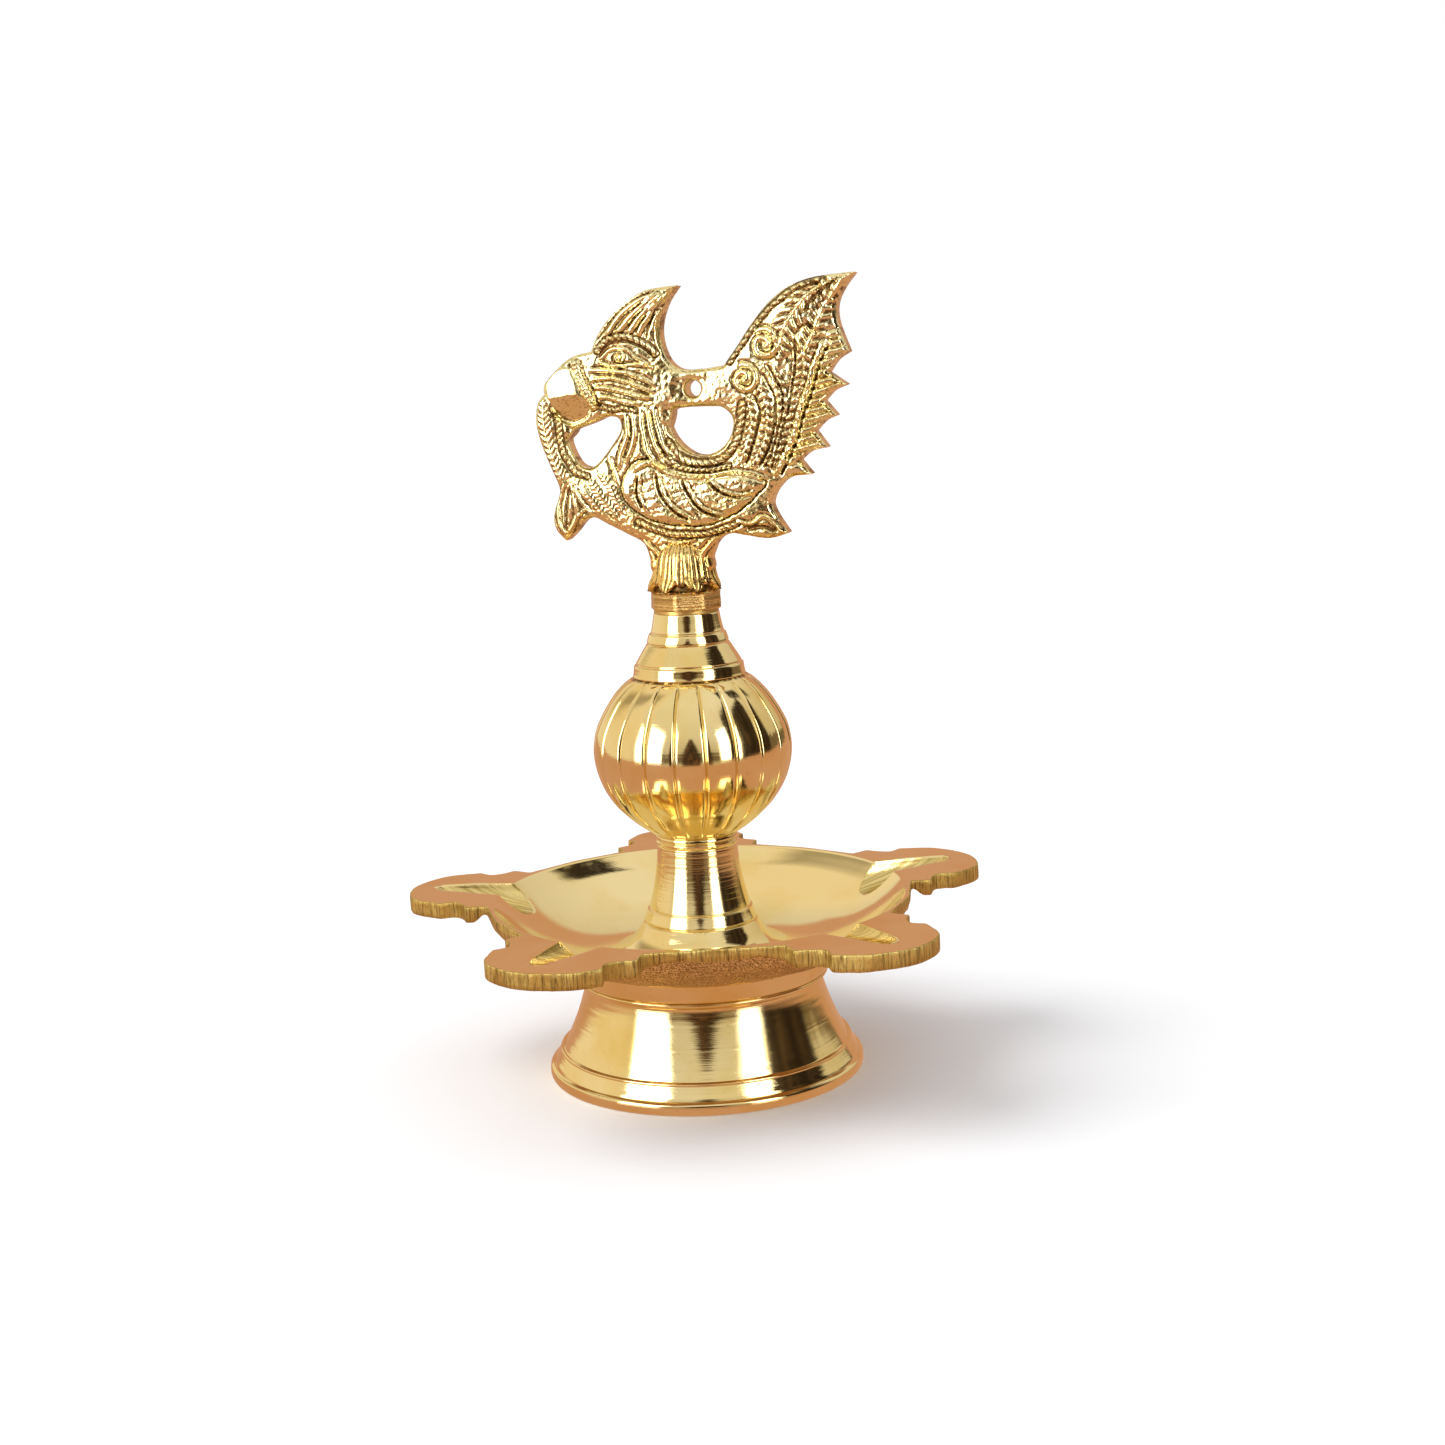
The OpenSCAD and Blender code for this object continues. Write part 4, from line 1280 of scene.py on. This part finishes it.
def make_finial():
    """The bird and its shank, joined into one solid."""
    material = relief_brass()
    piece = mesh_piece("bird_finial", bird_part(), [material], sharp=60)
    shank = mesh_piece("finial_shank", shank_part(), [material], sharp=60)
    union = piece.modifiers.new("union", "BOOLEAN")
    union.operation, union.solver, union.object = "UNION", "MANIFOLD", shank
    depsgraph = bpy.context.evaluated_depsgraph_get()
    mesh = bpy.data.meshes.new_from_object(piece.evaluated_get(depsgraph))
    piece.modifiers.clear()
    piece.data = mesh
    bpy.data.objects.remove(shank)
    mesh.transform(Matrix.Translation((0, 0, FINIAL_BASE * MM)) @ Matrix.Rotation(BIRD_TURN, 4, "Z"))
    mesh.polygons.foreach_set("use_smooth", np.ones(len(mesh.polygons), bool))
    mesh.set_sharp_from_angle(angle=math.radians(60))
    placed(piece, "finial", "finial")


# ---- hidden hardware ----


def dress_hardware():
    brass, leather = plain_brass(), hide()
    finish = {"foot_washer": brass, "foot_nut": brass, "foot_stud": brass, "tie_rod": brass,
              "finial_washer": brass, "seal_washer": leather}
    for name, material in finish.items():
        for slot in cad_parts[name].material_slots:
            slot.material = material


# ---- studio ----


CAMERA_AT = (-0.02646, -0.5353, 0.18104)
YAW, PITCH, ROLL = math.radians(3.667), math.radians(9.663), math.radians(-2.544)
LENS = 53.27
NEAR_BLACK = (0.03, 0.022, 0.015, 1)
AMBIENT = (0.755, 0.76, 0.77, 1)
WINDOW_GLOW = 4.6
WINDOW_AWAY = 1.1


def flat_sheet(name, low, high, level, material):
    """A level rectangle between two corners."""
    (x0, y0), (x1, y1) = low, high
    mesh = bpy.data.meshes.new(name)
    mesh.from_pydata([(x0, y0, level), (x1, y0, level), (x1, y1, level),
                      (x0, y1, level)], [], [(0, 1, 2, 3)])
    mesh.materials.append(material)
    return added(name, mesh)


def make_floor():
    """A plain pale floor, which the brass doesn't see."""
    pale = Paint("pale_floor").finish({"Base Color": (0.93, 0.93, 0.935, 1), "Roughness": 0.9,
                                       "Specular IOR Level": 0.0})
    floor = flat_sheet("floor", (-12, -12), (12, 12), 0, pale)
    floor.visible_glossy = False


def make_world():
    """White for the camera and an even grey for matt things. Polished brass sees a studio instead: warm paper
    below and behind, a cream room in front with a dark hanging at the right, and somebody at the camera."""
    world = bpy.data.worlds.new("studio")
    world.use_nodes = True
    bpy.context.scene.world = world
    p = Nodes(world.node_tree)
    x, y, z = p.parts(p.node("ShaderNodeTexCoord").outputs["Generated"])
    # degrees: azimuth from the camera's side, rising toward the right of the picture
    degree = math.degrees(1)
    azimuth = p.times(p.math("ARCTAN2", x, p.times(y, -1)), degree)
    up = p.times(p.math("ARCSINE", z), degree)
    grid = p.node("ShaderNodeCombineXYZ", {0: azimuth, 1: up}).outputs[0]

    def within(value, low, high, soft):
        """1 between the two limits, 0 outside them."""
        rise = p.span(value, low - soft, low + soft)
        return p.times(rise, p.span(value, high - soft, high + soft, 1, 0))

    def patches(wide, tall, detail=3, roughness=0.5):
        """Noise over the studio's walls."""
        return p.noise(p.stretched(grid, wide, tall, 0), 1.0, detail, roughness)

    def off_from(angle):
        return p.math("ABSOLUTE", p.math("ADD", azimuth, angle))

    room = p.mixed(p.span(up, 4, 62), (0.66, 0.58, 0.42, 1), (0.95, 0.88, 0.73, 1))
    room = p.mixed(p.span(up, -5, -3, 1, 0), room, (0.74, 0.67, 0.50, 1))
    room = p.mixed(within(azimuth, -165, -74, 8), room, (0.96, 0.82, 0.58, 1))
    # clutter along the skyline
    tall = p.math("MULTIPLY_ADD", patches(0.12, 0.05, 3, 0.6), 34, -9)
    clutter = p.times(p.math("GREATER_THAN", tall, up), p.span(up, -6, -4))
    clutter = p.times(clutter, within(azimuth, -62, 170, 2))
    shade = p.mixed(patches(0.5, 0.3), (0.02, 0.015, 0.01, 1), (0.26, 0.17, 0.08, 1))
    room = p.mixed(p.times(clutter, 0.9), room, shade)
    # a pleated hanging
    pleats = p.span(patches(0.55, 0.02, 3, 0.7), 0.50, 0.66)
    cloth = p.mixed(pleats, (0.012, 0.009, 0.006, 1), (0.20, 0.12, 0.06, 1))
    room = p.mixed(p.times(within(azimuth, 50, 97, 1.2), p.span(up, 47, 51, 1, 0)), room, cloth)
    # a dark corner high up behind the right shoulder, and dusk behind the left one
    slanting = p.math("MULTIPLY_ADD", azimuth, 0.62, up)
    corner = p.times(within(azimuth, 86, 115, 3), within(slanting, 108, 122, 2))
    corner = p.times(corner, p.span(patches(0.16, 0.16, 4), 0.33, 0.42))
    room = p.mixed(corner, room, NEAR_BLACK)
    falling = p.math("MULTIPLY_ADD", azimuth, -0.76, up)
    dusk = p.times(within(azimuth, -142, -92, 8), within(falling, 122, 139, 5))
    room = p.mixed(p.times(dusk, 0.75), room, (0.30, 0.25, 0.16, 1))
    # whoever holds the camera, narrower toward the head
    half = p.math("SUBTRACT", p.span(up, 2, 31, 17, 4), off_from(4))
    figure = p.times(p.span(half, -0.7, 0.7), p.span(up, 31, 34, 1, 0))
    skin = p.mixed(p.span(patches(0.25, 0.12), 0.5, 0.6), NEAR_BLACK, (0.20, 0.09, 0.04, 1))
    room = p.mixed(figure, room, skin)
    # the paper, which climbs at the back
    paper_edge = p.span(off_from(13), 142, 156, -9, 28)
    seen = p.mixed(p.span(p.math("SUBTRACT", paper_edge, up), -1.2, 1.2), room, PAPER)
    path = p.node("ShaderNodeLightPath")
    plain = p.mixed(path.outputs["Is Camera Ray"], AMBIENT, (1, 1, 1, 1))
    p.feed(p.nodes["Background"].inputs["Color"], p.mixed(path.outputs["Is Glossy Ray"], plain, seen))


def make_paper():
    """The warm sheet under the lamp, which only the brass sees."""
    warm = Paint("warm_paper").finish({"Base Color": (0, 0, 0, 1), "Emission Color": PAPER,
                                       "Emission Strength": 1.0, "Specular IOR Level": 0.0})
    paper = flat_sheet("paper", (-1.2, -0.6), (1.2, 1.4), -0.001, warm)
    paper.visible_camera = paper.visible_diffuse = paper.visible_shadow = False


def make_window(name, azimuth, height, width, tall):
    """A window that only brass sees. Azimuth is from the camera's side, anticlockwise seen from above."""
    light = bpy.data.lights.new(name, "AREA")
    light.shape, light.size, light.size_y = "RECTANGLE", width, tall
    light.energy = WINDOW_GLOW * math.pi * width * tall
    light.color = (1.0, 0.97, 0.92)
    window = added(name, light)
    turn = math.radians(azimuth)
    window.location = (WINDOW_AWAY * math.sin(turn), -WINDOW_AWAY * math.cos(turn), height)
    aim = Vector((0, 0, 0.09)) - window.location
    window.rotation_mode = "QUATERNION"
    window.rotation_quaternion = aim.to_track_quat("-Z", "Y")
    window.visible_camera = window.visible_diffuse = False


def make_key():
    """A wide soft sun from the upper left. It lights the floor and throws the shadow, unseen by brass."""
    light = bpy.data.lights.new("key", "SUN")
    light.energy = 1.8
    light.angle = math.radians(44)
    key = added("key", light)
    key.rotation_mode = "QUATERNION"
    key.rotation_quaternion = Vector((0.58, 0.02, -0.66)).to_track_quat("-Z", "Y")
    key.visible_glossy = False


def make_camera():
    """The photograph's viewpoint: half a metre away, looking down a little, with a slight roll."""
    ahead = Vector((math.sin(YAW) * math.cos(PITCH), math.cos(YAW) * math.cos(PITCH), -math.sin(PITCH)))
    right = Vector((math.cos(YAW), -math.sin(YAW), 0))
    up = right.cross(ahead)
    side = right * math.cos(ROLL) + up * math.sin(ROLL)
    above = up * math.cos(ROLL) - right * math.sin(ROLL)
    data = bpy.data.cameras.new("camera")
    data.lens, data.sensor_width, data.clip_start = LENS, 36, 0.01
    camera = added("camera", data)
    turned = Matrix((side, above, -ahead)).transposed().to_4x4()
    camera.matrix_world = Matrix.Translation(CAMERA_AT) @ turned
    bpy.context.scene.camera = camera


make_camera()
make_floor()
make_world()
make_paper()
make_window("window_left", -53, 0.44, 0.66, 0.94)
make_window("window_right", 38, 0.44, 0.40, 0.90)
make_key()
bpy.context.scene.view_settings.view_transform = "Standard"

make_foot()
make_bowl()
make_stem()
make_collar()
make_ball()
make_neck()
make_finial()
dress_hardware()
